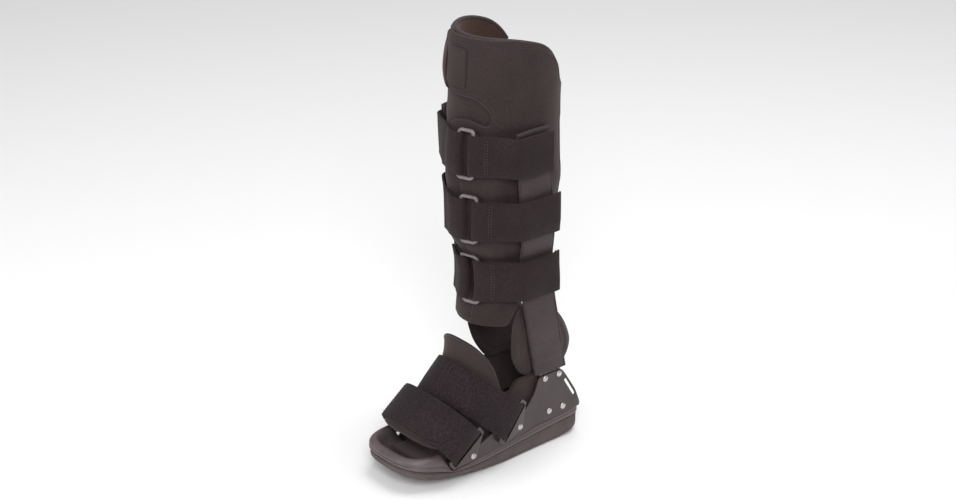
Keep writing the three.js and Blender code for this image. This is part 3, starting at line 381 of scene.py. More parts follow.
# A closed curve through corner places, with each corner's straight runs kept
def roundCorners(corners, radius, count=6):
    smoothed = []
    for i, corner in enumerate(corners):
        here = Vector(corner)
        before = Vector(corners[i - 1])
        after = Vector(corners[(i + 1) % len(corners)])
        reach = min(radius, (before - here).length * 0.45, (after - here).length * 0.45)
        start = here + (before - here).normalized() * reach
        end = here + (after - here).normalized() * reach
        for t in steps(count, 0, 1):
            smoothed.append(tuple(start.lerp(here, t).lerp(here.lerp(end, t), t)))
    return smoothed


# A cord or bound edge along a path: wide is its half width across the surface, tall its half height off it
def edging(path, outward, wide, tall, joined=False, around=10):
    rings = []
    count = len(path)
    for i, here in enumerate(path):
        before = path[i - 1] if joined else path[max(0, i - 1)]
        after = path[(i + 1) % count] if joined else path[min(count - 1, i + 1)]
        ahead = (after - before).normalized()
        up = (outward[i] - ahead * outward[i].dot(ahead)).normalized()
        beside = ahead.cross(up)
        ring = []
        for k in range(around):
            turn = 2 * pi * k / around
            ring.append(here + beside * (cos(turn) * wide) + up * (sin(turn) * tall))
        rings.append(ring)
    return skin(rings, joined=joined)


# A row of stitches along a path, each a short low bead lying on the cloth
def stitches(path, outward, spacing=3.2, length=2.2, thick=0.45):
    beads = []
    travelled = 0.0
    wanted = spacing / 2
    for i in range(len(path) - 1):
        step = path[i + 1] - path[i]
        while step.length > 1e-6 and wanted <= travelled + step.length:
            share = (wanted - travelled) / step.length
            here = path[i].lerp(path[i + 1], share)
            up = outward[i].lerp(outward[i + 1], share).normalized()
            along = step.normalized() * (length / 2)
            places = [here - along, here - along * 0.5, here + along * 0.5, here + along]
            heights = [0.02, thick, thick, 0.02]
            widths = [0.05, thick, thick, 0.05]
            rings = []
            beside = along.cross(up).normalized()
            for place, tall, wide in zip(places, heights, widths):
                ring = []
                for turn in (0.25 * pi, 0.75 * pi, 1.25 * pi, 1.75 * pi):
                    ring.append(place + beside * (cos(turn) * wide) + up * (sin(turn) * tall))
                rings.append(ring)
            beads.append(skin(rings))
            wanted += spacing
        travelled += step.length
    return together(beads)


# Rocker sole


def soleHalf(y):
    ball = sole["ballWidth"] / 2
    heel = sole["heelWidth"] / 2
    heelStart = sole["heel"] - sole["heelRound"]

    def roundOff(t, power):
        return (1 - min(1, t) ** power) ** (1 / power)

    if y > heelStart:
        return heel * roundOff((y - heelStart) / sole["heelRound"], 2.3)
    if y > -sole["ball"]:
        return blend(heel, ball, ease(-y, -heelStart, sole["ball"]))
    return ball * roundOff((-y - sole["ball"]) / (sole["toe"] - sole["ball"]), 3.2)


def toeShare(y, start):
    return max(0, (-y - start) / (sole["toe"] - start))


def soleBottom(y):
    back = sole["heel"] / 2
    heelRise = sole["heelBevel"] * max(0, (y - back) / back) ** 1.6
    return sole["spring"] * toeShare(y, sole["ball"] / 3) ** 1.4 + heelRise


def outsoleTop(y):
    return readRow(sole["seam"], y)[0]


def deckTop(y):
    front = sole["plateFront"]
    share = (sole["heel"] - max(y, -front)) / (sole["heel"] + front)
    level = blend(sole["deckHeel"], sole["deckBall"], share)
    return level + (sole["deckToe"] - sole["deckBall"]) * toeShare(y, front) ** 1.2


# The sole's edge from the toe round the +X side to the heel and back, as places with the way in
def soleEdge():
    toeSpan = sole["toe"] - sole["ball"]
    side = [-sole["ball"] - toeSpan * sin(turn) for turn in steps(26, pi / 2, 0)]
    side += steps(22, -sole["ball"] + 6, sole["heel"] - sole["heelRound"] - 4)
    side += [sole["heel"] - sole["heelRound"] * (1 - sin(turn)) for turn in steps(20, 0, pi / 2)]
    half = [Vector((soleHalf(y), y)) for y in side]
    return half + [Vector((-place.x, place.y)) for place in reversed(half[1:-1])]


def soleInward(edge):
    inward = []
    for i in range(len(edge)):
        ahead = edge[(i + 1) % len(edge)] - edge[i - 1]
        inward.append(Vector((-ahead.y, ahead.x)).normalized())
    return inward


# A ring of the sole at a distance in from its edge, drawn towards the middle line by pull
def soleRing(inset, level, pull=0):
    edge = soleEdge()
    inward = soleInward(edge)
    ring = []
    for place, way in zip(edge, inward):
        spot = place + way * inset
        if abs(spot.x) > 0 and spot.x * place.x < 0:
            spot.x = 0
        spot.x *= 1 - pull
        spot.y = between(spot.y, -sole["toe"] + inset + pull * 12, sole["heel"] - inset - pull * 12)
        ring.append(Vector((spot.x, spot.y, level(spot.y, spot.x))))
    return ring


outsoleLook = {"edge": 4.6}


def buildOutsole():
    edge = outsoleLook["edge"]
    rings = [soleRing(14, lambda y, x: soleBottom(y), pull) for pull in (1, 0.6, 0.2)]
    rings += [soleRing(inset, lambda y, x: soleBottom(y)) for inset in (10, 5)]
    for turn in steps(5, 0, pi / 2):
        inset = 1.2 + edge * (1 - sin(turn))
        rise = edge * (1 - cos(turn))
        rings.append(soleRing(inset, lambda y, x, rise=rise: soleBottom(y) + rise))
    for share, dent in ((0.35, 0), (0.62, 0), (0.7, 0.5), (0.78, 0.5), (0.86, -0.3), (0.97, -0.3)):
        rings.append(soleRing(1.2 + dent, lambda y, x, share=share:
                              blend(soleBottom(y) + edge, outsoleTop(y) - 0.5, share)))
    rings += [soleRing(inset, lambda y, x: outsoleTop(y)) for inset in (1.9, 4)]
    rings += [soleRing(14, lambda y, x: outsoleTop(y), pull) for pull in (0.2, 0.6, 1)]
    return skin(rings, capped=False)


# The deck's outer wall and the toe rim: distance in from the edge, height as a share of the wall where it is
# flat on top, and the same where it carries the rim
wallProfile = [
    (1.9, 0, 0), (0.8, 0.05, 0.03), (0.05, 0.14, 0.08), (0, 0.35, 0.24), (0.15, 0.48, 0.34), (0.75, 0.52, 0.38),
    (0.75, 0.56, 0.42), (0.1, 0.62, 0.48), (0.1, 0.75, 0.6), (0.5, 0.88, 0.72), (1.2, 0.96, 0.83),
    (2.4, 1, 0.92), (4.2, 1, 0.98), (6.4, 1, 1),
]
innerFall = [(8.5, 0.03), (10.5, 0.13), (12.3, 0.35), (13.8, 0.64), (15.2, 0.88), (16.8, 1)]


def rimCrest(y):
    strength = ease(-y, sole["plateFront"] + 1, sole["plateFront"] + 15)
    return strength, blend(deckTop(y), sole["rimTop"], strength)


def buildMidsole():
    def wallAt(flatShare, rimShare):
        def level(y, x):
            strength, crest = rimCrest(y)
            low = outsoleTop(y) + 0.3
            return blend(low, crest, blend(flatShare, rimShare, strength))
        return level

    def slopeAt(fall):
        return lambda y, x: blend(rimCrest(y)[1], deckTop(y), fall)

    rings = [soleRing(14, lambda y, x: outsoleTop(y) + 0.3, pull) for pull in (1, 0.6, 0.2)]
    rings.append(soleRing(4, lambda y, x: outsoleTop(y) + 0.3))
    rings += [soleRing(inset, wallAt(flatShare, rimShare)) for inset, flatShare, rimShare in wallProfile]
    rings += [soleRing(inset, slopeAt(fall)) for inset, fall in innerFall]
    rings += [soleRing(17, lambda y, x: deckTop(y), pull) for pull in (0.15, 0.6, 1)]
    return skin(rings, capped=False)


newPiece("outsoleRocker", buildOutsole(), "soleRubber", ["outsole"], 50)
newPiece("midsoleDeck", buildMidsole(), "deckPlastic", ["midsole"], 50)


footbedLook = {"thickness": 4, "plateLift": 2.8, "inset": 12}


def buildFootbed():
    thick = footbedLook["thickness"]
    front = -sole["toe"] + sole["rimWidth"] + 9

    def floorAt(y):
        lift = footbedLook["plateLift"] * ease(y, -sole["plateFront"] - 3, -sole["plateFront"] + 3)
        return deckTop(between(y, front, 80)) + 0.35 + lift

    def ringAt(inset, rise, pull=0):
        ring = []
        for place, way in zip(soleEdge(), soleInward(soleEdge())):
            more = blend(0, 14, ease(-place.y, sole["ball"] * 0.86, sole["ball"] * 1.35))
            spot = place + way * (inset + more)
            if spot.x * place.x < 0:
                spot.x = 0
            spot.x *= 1 - pull
            spot.y = between(spot.y, front + inset - footbedLook["inset"], sole["heel"] - inset - 2)
            ring.append(Vector((spot.x, spot.y, floorAt(spot.y) + rise)))
        return ring

    base = footbedLook["inset"]
    rings = [ringAt(base + 2, 0, pull) for pull in (1, 0.5)]
    rings += [ringAt(base + 0.8, 0), ringAt(base, 0.8), ringAt(base, thick - 1.4)]
    rings += [ringAt(base + 0.5, thick - 0.4), ringAt(base + 1.6, thick), ringAt(base + 4, thick)]
    rings += [ringAt(base + 4, thick, pull) for pull in (0.3, 0.7, 1)]
    return skin(rings, capped=False)


footbed = newPiece("footbedFoam", buildFootbed(), "padKnit", ["footbed"], 60)
print("sole made")


# Metal plate: two side walls with heel wings and a floor between them
plate = {
    "thickness": 2.2, "heelWidth": 86, "ballWidth": 100, "front": 113, "back": 73, "wingTop": 87.5,
    "edge": 0.55, "slot": ((51.2, 72.6), (64.2, 51.2)), "slotWidth": 3.4,
}


def plateBottom(y):
    return deckTop(y) + 0.3


def plateSide(y):
    return blend(plate["heelWidth"], plate["ballWidth"], ease(12 - y, -4, 66)) / 2


def buildSideWall(side):
    top = [(-113, 23), (-105, 32.5), (-81, 35.6), (-58.8, 45.4), (-34, 47.2), (-5.6, 57.5), (4.4, 67.6),
           (12.6, 86.6), (45, 88), (50.3, 81.2), (66, 56.4), (72, 41), (73, 36)]
    foot = [(y, plateBottom(y) + 0.1) for y in steps(9, 73, -113)]
    outline = roundCorners(top, 4.5) + foot
    (x0, z0), (x1, z1) = plate["slot"]
    lean = atan2(z1 - z0, x1 - x0)
    radius = plate["slotWidth"] / 2
    slot = [(x1 + radius * cos(lean + turn), z1 + radius * sin(lean + turn)) for turn in steps(7, -pi / 2, pi / 2)]
    slot += [(x0 - radius * cos(lean + turn), z0 - radius * sin(lean + turn)) for turn in steps(7, -pi / 2, pi / 2)]

    def bend(y, z, height):
        return Vector((side * (plateSide(y) - plate["thickness"] / 2 + height), y, z))

    return flatPlate([outline, slot], plate["thickness"], plate["edge"], bend, creasesAcross(0, -110, 70, 7))


def buildFloorPlate():
    inset = plate["thickness"] / 2
    side = [(plateSide(y) - inset, y) for y in steps(20, -113, 73)]
    outline = side + [(-x, y) for x, y in reversed(side)]

    def bend(x, y, height):
        return Vector((x, y, plateBottom(y) + plate["thickness"] / 2 + height))

    return flatPlate([outline], plate["thickness"], 0.3, bend, creasesAcross(1, -113, 73, 15))


wholePlate = together([buildSideWall(1), buildSideWall(-1), buildFloorPlate()])
newPiece("footPlate", wholePlate, "powderCoat", ["foot_plate"], 35)


rivet = {"head": 7.4, "dome": 1.6, "wingSpacing": 20, "low": 41, "high": 83}


def buildRivet(centre, side):
    profile = [(0, rivet["dome"])]
    for turn in steps(6, pi / 2, 0.1):
        profile.append((rivet["head"] / 2 * cos(turn), rivet["dome"] * sin(turn)))
    profile += [(rivet["head"] / 2, 0.02), (0, 0.02)]
    mesh = bmesh.new()
    verts = [mesh.verts.new(toBoot(centre + Vector((side * height, 0, reach)))) for reach, height in profile]
    edges = [mesh.edges.new(pair) for pair in zip(verts, verts[1:])]
    bmesh.ops.spin(mesh, geom=verts + edges, cent=toBoot(centre), axis=(1, 0, 0), angle=2 * pi, steps=24,
                   use_merge=True)
    bmesh.ops.remove_doubles(mesh, verts=mesh.verts, dist=1e-6)
    return mesh


# Uprights: a bar's centre line swings forward as it climbs, and stands off the calf
uprightLine = [(36.6, 38.5), (86, 31), (108.9, 24.8), (152.9, 11), (193.4, 3.3), (251.6, -3.3), (336.1, -13.2),
               (389, -16.5)]
legRows = [(161, 46, 52.9, -4), (190.7, 45.4, 49.8, -3.5), (215.5, 46, 47.9, -3), (238, 47.6, 50.4, -3.6),
           (262, 53.2, 59, -6.3), (285, 55.5, 60.2, -6), (319, 56.9, 63, -3.8), (359, 57.5, 63, -5),
           (400, 56.6, 59.9, -3.3), (440, 56.4, 59.5, -1.8), (485, 54.6, 56.7, -0.8)]
uprightLook = {"barWidth": 31, "barThickness": 3, "sleeveWidth": 43, "sleeveThickness": 5.4, "bottom": 89.5,
               "top": 386, "roll": 3.2}


def uprightAt(z):
    y = readRow(uprightLine, z)[0]
    calf = readRow(legRows, max(z, 161))[0] + 0.9 + uprightLook["sleeveThickness"] / 2
    return Vector((blend(39, calf, ease(z, 86, 167)), y, z))


# A flat band's section as places across and through, with softly rounded edges
def bandSection(width, thickness, crown=0.0, count=10):
    radius = thickness / 2
    flat = width / 2 - radius
    face = [(across, thickness / 2 + crown * (1 - (across / flat) ** 2)) for across in steps(count, -flat, flat)]
    edge = [(flat + radius * cos(turn), radius * sin(turn)) for turn in steps(6, pi / 2, -pi / 2)[1:-1]]
    return face + edge + [(-across, -through) for across, through in face + edge]


def buildUprightBand(side, width, thickness, heights, crown=0.0, wrinkle=0.0):
    rings = []
    for z in heights:
        centre = uprightAt(z)
        ring = []
        for across, through in bandSection(width, thickness, crown, 14):
            crease = wrinkle * noise.noise(Vector((across * 0.035, z * 0.16, side * 7)))
            out = through + (crease if through > 0 else 0)
            ring.append(Vector((side * (centre.x + out), centre.y + across, z)))
        rings.append(ring)
    return skin(rings)


for side, name in ((1, "left"), (-1, "right")):
    bar = buildUprightBand(side, uprightLook["barWidth"], uprightLook["barThickness"], steps(24, 36.6, 380))
    newPiece("uprightBar_" + name, bar, "millAluminium", ["upright_" + name], 40)
    for place, along in (("front", -0.5), ("back", 0.5)):
        for level in ("low", "high"):
            z = rivet[level]
            centre = Vector((side * (plate["heelWidth"] / 2 + 0.02), uprightAt(z).y + along * rivet["wingSpacing"], z))
            node = "wing_rivet_" + level + "_" + place + "_" + name
            newPiece("wingRivet_" + level + "_" + place + "_" + name, buildRivet(centre, side), "rivetSteel",
                     [node], 50)
print("plate and bars made")


# Sleeves: flat woven tubes over the bars, piped along both edges and rolled over at the top
def buildSleeve(side):
    heights = steps(90, uprightLook["bottom"], uprightLook["top"])
    return buildUprightBand(side, uprightLook["sleeveWidth"], uprightLook["sleeveThickness"], heights, 0.5, 0.7)


def buildPiping(side, edge):
    path = []
    for z in steps(80, uprightLook["bottom"] + 0.5, uprightLook["top"] - 3):
        centre = uprightAt(z)
        reach = uprightLook["sleeveWidth"] / 2 - 0.6
        path.append(Vector((side * (centre.x + 1.5), centre.y + edge * reach, z)))
    return edging(path, [Vector((side, edge * 0.6, 0))] * len(path), 1.5, 1.4)


def buildRoll(side):
    top = uprightAt(uprightLook["top"])
    path = []
    for along in steps(15, -1, 1):
        sag = 0.8 * along * along + 1.2 * max(0, -along)
        path.append(Vector((side * (top.x + 1.9 - sag * 0.5), top.y + along * 21, uprightLook["top"] - sag)))
    return edging(path, [Vector((side, 0, 0))] * len(path), uprightLook["roll"], 2.7, around=16)


for side, name in ((1, "left"), (-1, "right")):
    newPiece("sleeve_" + name, buildSleeve(side), "wovenNylon", ["upright_sleeve_" + name], 60)
    pipings = together([buildPiping(side, -1), buildPiping(side, 1), buildRoll(side)])
    newPiece("sleevePiping_" + name, pipings, "bindingTape", (), 60)
print("sleeves made")


# Leg wrap
wrap = {
    "bottom": 161, "thickness": 5.5, "sideRise": 34, "flap": 3.6, "flapGap": 0.6, "bodyEnd": 129, "swell": 1.5,
    "ripple": 0.9,
    "topEdge": [(0, 483), (55, 482.5), (86, 476), (103, 466.7), (116, 450), (123, 432), (138, 423), (180, 423)],
}
strapRows = {
    "top": {"middle": 359.5, "width": 44, "ring": 17, "trim": 4.5, "rise": 3},
    "middle": {"middle": 287.5, "width": 44, "ring": 20, "trim": 0, "rise": 3},
    "low": {"middle": 215.5, "width": 47, "ring": 14, "trim": 0, "rise": 2},
}


def legNormal(angle, z):
    halfWidth, halfDepth, middle = readRow(legRows, z)
    turn = radians(angle)
    return Vector((sin(turn) / halfWidth, -cos(turn) / halfDepth, 0)).normalized()


def onLeg(angle, z, offset):
    halfWidth, halfDepth, middle = readRow(legRows, z)
    turn = radians(angle)
    return Vector((sin(turn) * (halfWidth + offset), -cos(turn) * (halfDepth + offset) + middle, z))


# The far side stands higher than the near one before it falls to the back
def wrapTopAt(angle):
    return readRow(wrap["topEdge"], abs(angle) - 14 * ease(-angle, 30, 90))[0]


def wrapBottomAt(angle):
    return wrap["bottom"] + wrap["sideRise"] * ease(abs(angle), 56, 80)


# The padding swells between the straps, lies flat under them, and is never quite even
def swell(angle, z):
    pressed = 0
    for row in strapRows.values():
        reach = abs(z - row["middle"]) - row["width"] / 2
        pressed = max(pressed, 1 - ease(reach, -1, 11))
    ripple = wrap["ripple"] * noise.noise(Vector((angle * 0.035, z * 0.03, 3)))
    puff = wrap["swell"] + ripple
    return puff * (1 - pressed)


# A padded wall between two angles: outer face up, over the rounded rim, inner face down
def paddedWall(angles, low, high, inner, outer, joined=False, rows=56):
    rings = []
    for angle in angles:
        bottom = low(angle)
        top = high(angle)
        rim = (outer(angle) - inner(angle)) / 2
        ring = []
        for z in steps(rows, bottom + rim, top - rim):
            ring.append(onLeg(angle, z, outer(angle) + swell(angle, z)))
        for turn in steps(6, 0, pi)[1:-1]:
            offset = inner(angle) + rim + cos(turn) * rim
            ring.append(onLeg(angle, top - rim + sin(turn) * rim, offset))
        for z in steps(rows // 2, top - rim, bottom + rim):
            ring.append(onLeg(angle, z, inner(angle)))
        for turn in steps(6, pi, 0)[1:-1]:
            offset = inner(angle) + rim + cos(turn) * rim
            ring.append(onLeg(angle, bottom + rim - sin(turn) * rim, offset))
        rings.append(ring)
    return skin(rings, joined=joined)


end = wrap["bodyEnd"]
body = paddedWall(steps(120, -end, end), wrapBottomAt, wrapTopAt, lambda a: -wrap["thickness"], lambda a: 0)
bodyPiece = newPiece("wrapBody", body, "nappedNylon", ["leg_wrap"], 60)

# The gusset's light colour is partly painted sheen, the grazing light at the wrap's back edge
gusset = paddedWall(steps(50, end - 5, 365 - end), lambda a: wrapBottomAt(180) + 1, lambda a: wrapTopAt(180) - 1,
                    lambda a: -4.6, lambda a: -1.6)
gussetPiece = newPiece("calfGusset", gusset, "elasticRibPaintedSheen", ["leg_wrap"], 60)


# The wrap's lining: a thin brushed layer just inside the padding
def buildLining():
    rings = []
    for angle in steps(110, -end + 2, end - 2):
        ring = [onLeg(angle, z, -wrap["thickness"] - 0.15) for z in steps(30, wrapBottomAt(angle) + 3, wrapTopAt(angle) - 2.5)]
        ring += [onLeg(angle, z, -wrap["thickness"] - 0.9) for z in steps(30, wrapTopAt(angle) - 2.5, wrapBottomAt(angle) + 3)]
        rings.append(ring)
    return skin(rings)


liningPiece = newPiece("wrapLining", buildLining(), "brushedLining", (), 60)


# Tape folded over the wrap's upper, lower and rear edges
def buildWrapBinding():
    top = []
    topOut = []
    for angle in steps(120, -end, end):
        top.append(onLeg(angle, wrapTopAt(angle) - 1.4, -wrap["thickness"] / 2))
        topOut.append(legNormal(angle, 440))
    bottom = []
    bottomOut = []
    for angle in steps(100, -end, end):
        bottom.append(onLeg(angle, wrapBottomAt(angle) + 1.2, -wrap["thickness"] / 2))
        bottomOut.append(legNormal(angle, 200))
    bands = [edging(top, topOut, 2.4, wrap["thickness"] / 2 + 0.7),
             edging(bottom, bottomOut, 2, wrap["thickness"] / 2 + 0.6)]
    for side in (-1, 1):
        upright = []
        out = []
        for z in steps(60, wrapBottomAt(end) + 2, wrapTopAt(end) - 2):
            upright.append(onLeg(side * end, z, -wrap["thickness"] / 2 + swell(side * end, z) / 2))
            out.append(legNormal(side * end, z))
        bands.append(edging(upright, out, 2, wrap["thickness"] / 2 + 0.8))
    return together(bands)


newPiece("wrapBinding", buildWrapBinding(), "bindingTape", (), 60)
print("wrap made")


# Front flap: overlaps towards the far side, with a round notch above the top strap
flap = {
    "freeEdge": [(15, 163.6), (15.5, 215), (14.5, 262), (10.5, 318), (5, 350), (-4, 374), (-7.2, 384), (-5.6, 389.2)],
    "notch": [(1, 393.4), (8.3, 395.6), (15, 396.6), (21, 396.2), (26, 394.4), (31.5, 392.4), (36.6, 392.3),
              (39.6, 395), (40.6, 399.5), (39.4, 405), (36, 411), (31, 416), (25.5, 419.6), (19.5, 421.4),
              (11, 422), (3, 422.2), (-4.6, 423.4), (-10.5, 425.6), (-16.4, 429.4), (-22, 435)],
    "upperEdge": [(-25.5, 442), (-27, 452), (-27, 466), (-25, 479), (-20.5, 483.2)],
    "fade": (40, 60), "end": 66,
}


def flapOffset(angle, share):
    low = wrap["flapGap"] - 1.6 * ease(angle, 54, flap["end"])
    high = low + wrap["flap"] * (1 - ease(angle, *flap["fade"])) + 0.02
    return blend(low, high, share)


def buildFlap():
    edge = flap["freeEdge"] + flap["notch"] + flap["upperEdge"]
    right = [(x, wrapTopAt(x) + 0.3) for x in steps(8, -10, flap["end"])]
    right += [(flap["end"], z) for z in steps(12, 470, 200)]
    right += [(flap["end"], 176), (64, 169), (60, 165), (54, 163.6), (40, 163.6)]

    def bend(angle, z, height):
        share = height / wrap["flap"] + 0.5
        return onLeg(angle, z, flapOffset(angle, share) + swell(angle, z))

    creases = creasesAcross(0, -27, flap["end"], 3.5) + creasesAcross(1, 163, 484, 6)
    return flatPlate([edge + right], wrap["flap"], 1.2, bend, creases)


flapPiece = newPiece("frontFlap", buildFlap(), "nappedNylon", ["wrap_flap"], 50)


def thicken(points, count):
    dense = []
    for i in range(len(points) - 1):
        before = Vector(points[max(0, i - 1)])
        a = Vector(points[i])
        b = Vector(points[i + 1])
        after = Vector(points[min(len(points) - 1, i + 2)])
        for t in steps(count + 1, 0, 1)[:-1]:
            place = a + (b - before) * (0.5 * t)
            place += (before * 2 - a * 5 + b * 4 - after) * (0.5 * t * t)
            place += (a * 3 - before - b * 3 + after) * (0.5 * t ** 3)
            dense.append((place.x, place.y))
    dense.append(tuple(points[-1]))
    return dense


def buildFlapBinding():
    edge = thicken(flap["freeEdge"] + flap["notch"] + flap["upperEdge"], 4)
    path = []
    out = []
    for angle, z in edge:
        path.append(onLeg(angle, z, flapOffset(angle, 0.5) + swell(angle, z)))
        out.append(legNormal(angle, z))
    return edging(path, out, 1.3, wrap["flap"] / 2 + 0.45)


newPiece("flapBinding", buildFlapBinding(), "bindingTape", (), 60)


# Sewing on the wrap: rows beside the bound edges, and the slanting seam below the notch
def onFlap(angle, z):
    return onLeg(angle, z, flapOffset(angle, 1) + swell(angle, z) + 0.1)


def sewnRow(points, place, normal):
    path = [place(*point) for point in points]
    return stitches(path, [normal(*point) for point in points])


def buildWrapSewing():
    rows = [sewnRow([(angle, wrapTopAt(angle) - 6.5) for angle in steps(90, -18, 60)], onFlap, legNormal)]
    outer = [(angle, wrapTopAt(angle) - 6.5) for angle in steps(60, 62, end - 3)]
    rows.append(sewnRow(outer, lambda a, z: onLeg(a, z, swell(a, z) + 0.1), legNormal))
    rows.append(sewnRow(thicken([(43, 399.4), (50, 391.5), (58, 385.5)], 10), onFlap, legNormal))
    notch = [(angle + 2.6, z + 3.4) for angle, z in flap["notch"][7:-2]]
    rows.append(sewnRow(thicken(notch, 4), onFlap, legNormal))
    return together(rows)


newPiece("wrapStitching", buildWrapSewing(), "thread", (), 60)


# Hook patch and pull loop on the flap's upper end
patch = {"angle": 1.4, "half": 10.6, "low": 430, "high": 471, "thickness": 1.4}
pull = {"angle": -29.5, "half": 8.6, "low": 421, "high": 472, "bow": 3.6, "thickness": 2.2}


def buildPatch():
    corners = [(-patch["half"], patch["low"]), (patch["half"], patch["low"]), (patch["half"], patch["high"]),
               (-patch["half"], patch["high"])]
    outline = roundCorners(corners, 3)

    def bend(angle, z, height):
        base = patch["angle"] + angle
        return onLeg(base, z, flapOffset(base, 1) + swell(base, z) + 0.15 + patch["thickness"] / 2 + height)

    return flatPlate([outline], patch["thickness"], 0.4, bend, creasesAcross(0, -11, 11, 3) + creasesAcross(1, 430, 471, 5))


patchPiece = newPiece("hookPatch", buildPatch(), "nappedNylon", ["hook_patch"], 50)


def buildPull():
    rings = []
    for t in steps(30, 0, 1):
        z = blend(pull["low"], pull["high"], t)
        bow = pull["bow"] * sin(t * pi) ** 0.8 + 0.7
        ring = []
        for across, through in bandSection(2 * pull["half"], pull["thickness"], 0.2, 8):
            ring.append(onLeg(pull["angle"] + across, z, bow + pull["thickness"] / 2 + through + swell(pull["angle"], z)))
        rings.append(ring)
    return skin(rings)


newPiece("pullLoop", buildPull(), "nappedNylon", ["pull_strip"], 60)
print("flap made")


# Shin straps run tight over the wrap, the flap and the sleeves
webbing = {"thickness": 2.6, "fold": 34, "ringBar": 3.6, "ringWidth": 20, "gap": 0.3, "selvage": 0.35}
tightReach = {}


def beltReach(z):
    key = round(z * 2)
    if key in tightReach:
        return tightReach[key]
    corners = []
    for angle in range(-180, 180, 4):
        raised = wrap["flap"] + wrap["flapGap"] if -2 < angle < 50 else 0
        place = onLeg(angle, z, raised + 0.2)
        corners.append(Vector((place.x, place.y)))
    centre = uprightAt(z)
    for side in (-1, 1):
        for along in (-23.5, 23.5):
            corners.append(Vector((side * (centre.x + 4.3), centre.y + along)))
    hull = [corners[i] for i in geometry.convex_hull_2d(corners)]
    middle = Vector((0, readRow(legRows, z)[2]))
    reaches = []
    for angle in range(-180, 180, 2):
        ray = Vector((sin(radians(angle)), -cos(radians(angle))))
        reach = 0
        for i, a in enumerate(hull):
            b = hull[(i + 1) % len(hull)]
            hit = geometry.intersect_line_line_2d(middle, middle + ray * 200, a, b)
            if hit:
                reach = max(reach, (hit - middle).length)
        reaches.append(reach)
    for smoothing in range(3):
        reaches = [(reaches[i - 1] + 2 * reaches[i] + reaches[(i + 1) % 180]) / 4 for i in range(180)]
    tightReach[key] = reaches
    return reaches


def onBelt(angle, z, offset):
    reaches = beltReach(z)
    spot = (angle + 180) / 2
    i = int(spot // 1) % 180
    reach = blend(reaches[i], reaches[(i + 1) % 180], spot - spot // 1) + 0.35 + offset
    turn = radians(angle)
    return Vector((sin(turn) * reach, -cos(turn) * reach + readRow(legRows, z)[2], z))


def beltDegrees(length, z):
    return degrees(length / (readRow(legRows, z)[1] + wrap["flap"]))


def strapEnd(row):
    z = row["middle"]
    centre = uprightAt(z)
    return 90 + degrees(atan2(centre.y + 21.5 - readRow(legRows, z)[2], centre.x)) - row["trim"]


# The straps slant a little, up towards the near side and down on the far side
def slant(row, angle):
    return row["rise"] * (1 - 2 * ease(-angle, 0, 60))


# A webbing section: across the strap and a share through it, thicker along its two woven edges
def webbingSection(width):
    half = width / 2
    ridge = webbing["selvage"]
    face = [(-half + 0.5, 0.9), (-half + 1.1, 1 + ridge * 0.4), (-half + 2.1, 1 + ridge * 0.3), (-half + 2.9, 0.94)]
    face += [(across, 1) for across in steps(8, -half + 5, half - 5)]
    face += [(half - 2.9, 0.94), (half - 2.1, 1 + ridge * 0.3), (half - 1.1, 1 + ridge * 0.4), (half - 0.5, 0.9)]
    side = [(half - 0.08, 0.7), (half, 0.5), (half - 0.08, 0.3)]
    back = [(half - 0.7, 0.04), (half / 3, 0), (-half / 3, 0), (-half + 0.7, 0.04)]
    return face + side + back + [(-half + 0.08, 0.3), (-half, 0.5), (-half + 0.08, 0.7)]


# The strap's run: each station is an inner and an outer (angle, offset), with its drop below the middle
def strapRun(row, start, bar, end, turning):
    z = row["middle"]
    thick = webbing["thickness"]
    gap = webbing["gap"]
    ringBase = gap + thick + gap
    ringMiddle = ringBase + webbing["ringBar"] / 2
    clear = webbing["ringBar"] / 2 + gap
    run = [((angle, gap), (angle, gap + thick), -0.9) for angle in steps(46, start, bar)]
    for turn in steps(12, -pi / 2, pi / 2)[1:-1]:
        def around(reach):
            return bar + turning * beltDegrees(cos(turn) * reach, z), ringMiddle + sin(turn) * reach
        run.append((around(clear + thick), around(clear * 1.05), blend(-0.9, 0, turn / pi + 0.5)))
    over = 2 * gap + thick
    lift = ringBase + webbing["ringBar"] + gap
    for angle in steps(46, bar, end):
        share = ease(abs(angle - bar), 0, beltDegrees(26, z))
        offset = blend(lift, over, share)
        run.append(((angle, offset + thick), (angle, offset), 0))
    return run


def buildStrap(row, run, extra):
    rings = []
    for far, near, drop in run:
        ring = []
        for across, share in webbingSection(row["width"] + extra):
            angle = blend(far[0], near[0], share)
            offset = blend(far[1], near[1], share)
            z = row["middle"] + drop + across + slant(row, angle)
            sway = 0.35 * noise.noise(Vector((angle * 0.06, z * 0.05, row["middle"])))
            ring.append(onBelt(angle, z, offset + sway))
        rings.append(ring)
    return skin(rings)


def ringDegrees(row):
    return beltDegrees((webbing["ringWidth"] - webbing["ringBar"]) / 2, row["middle"])


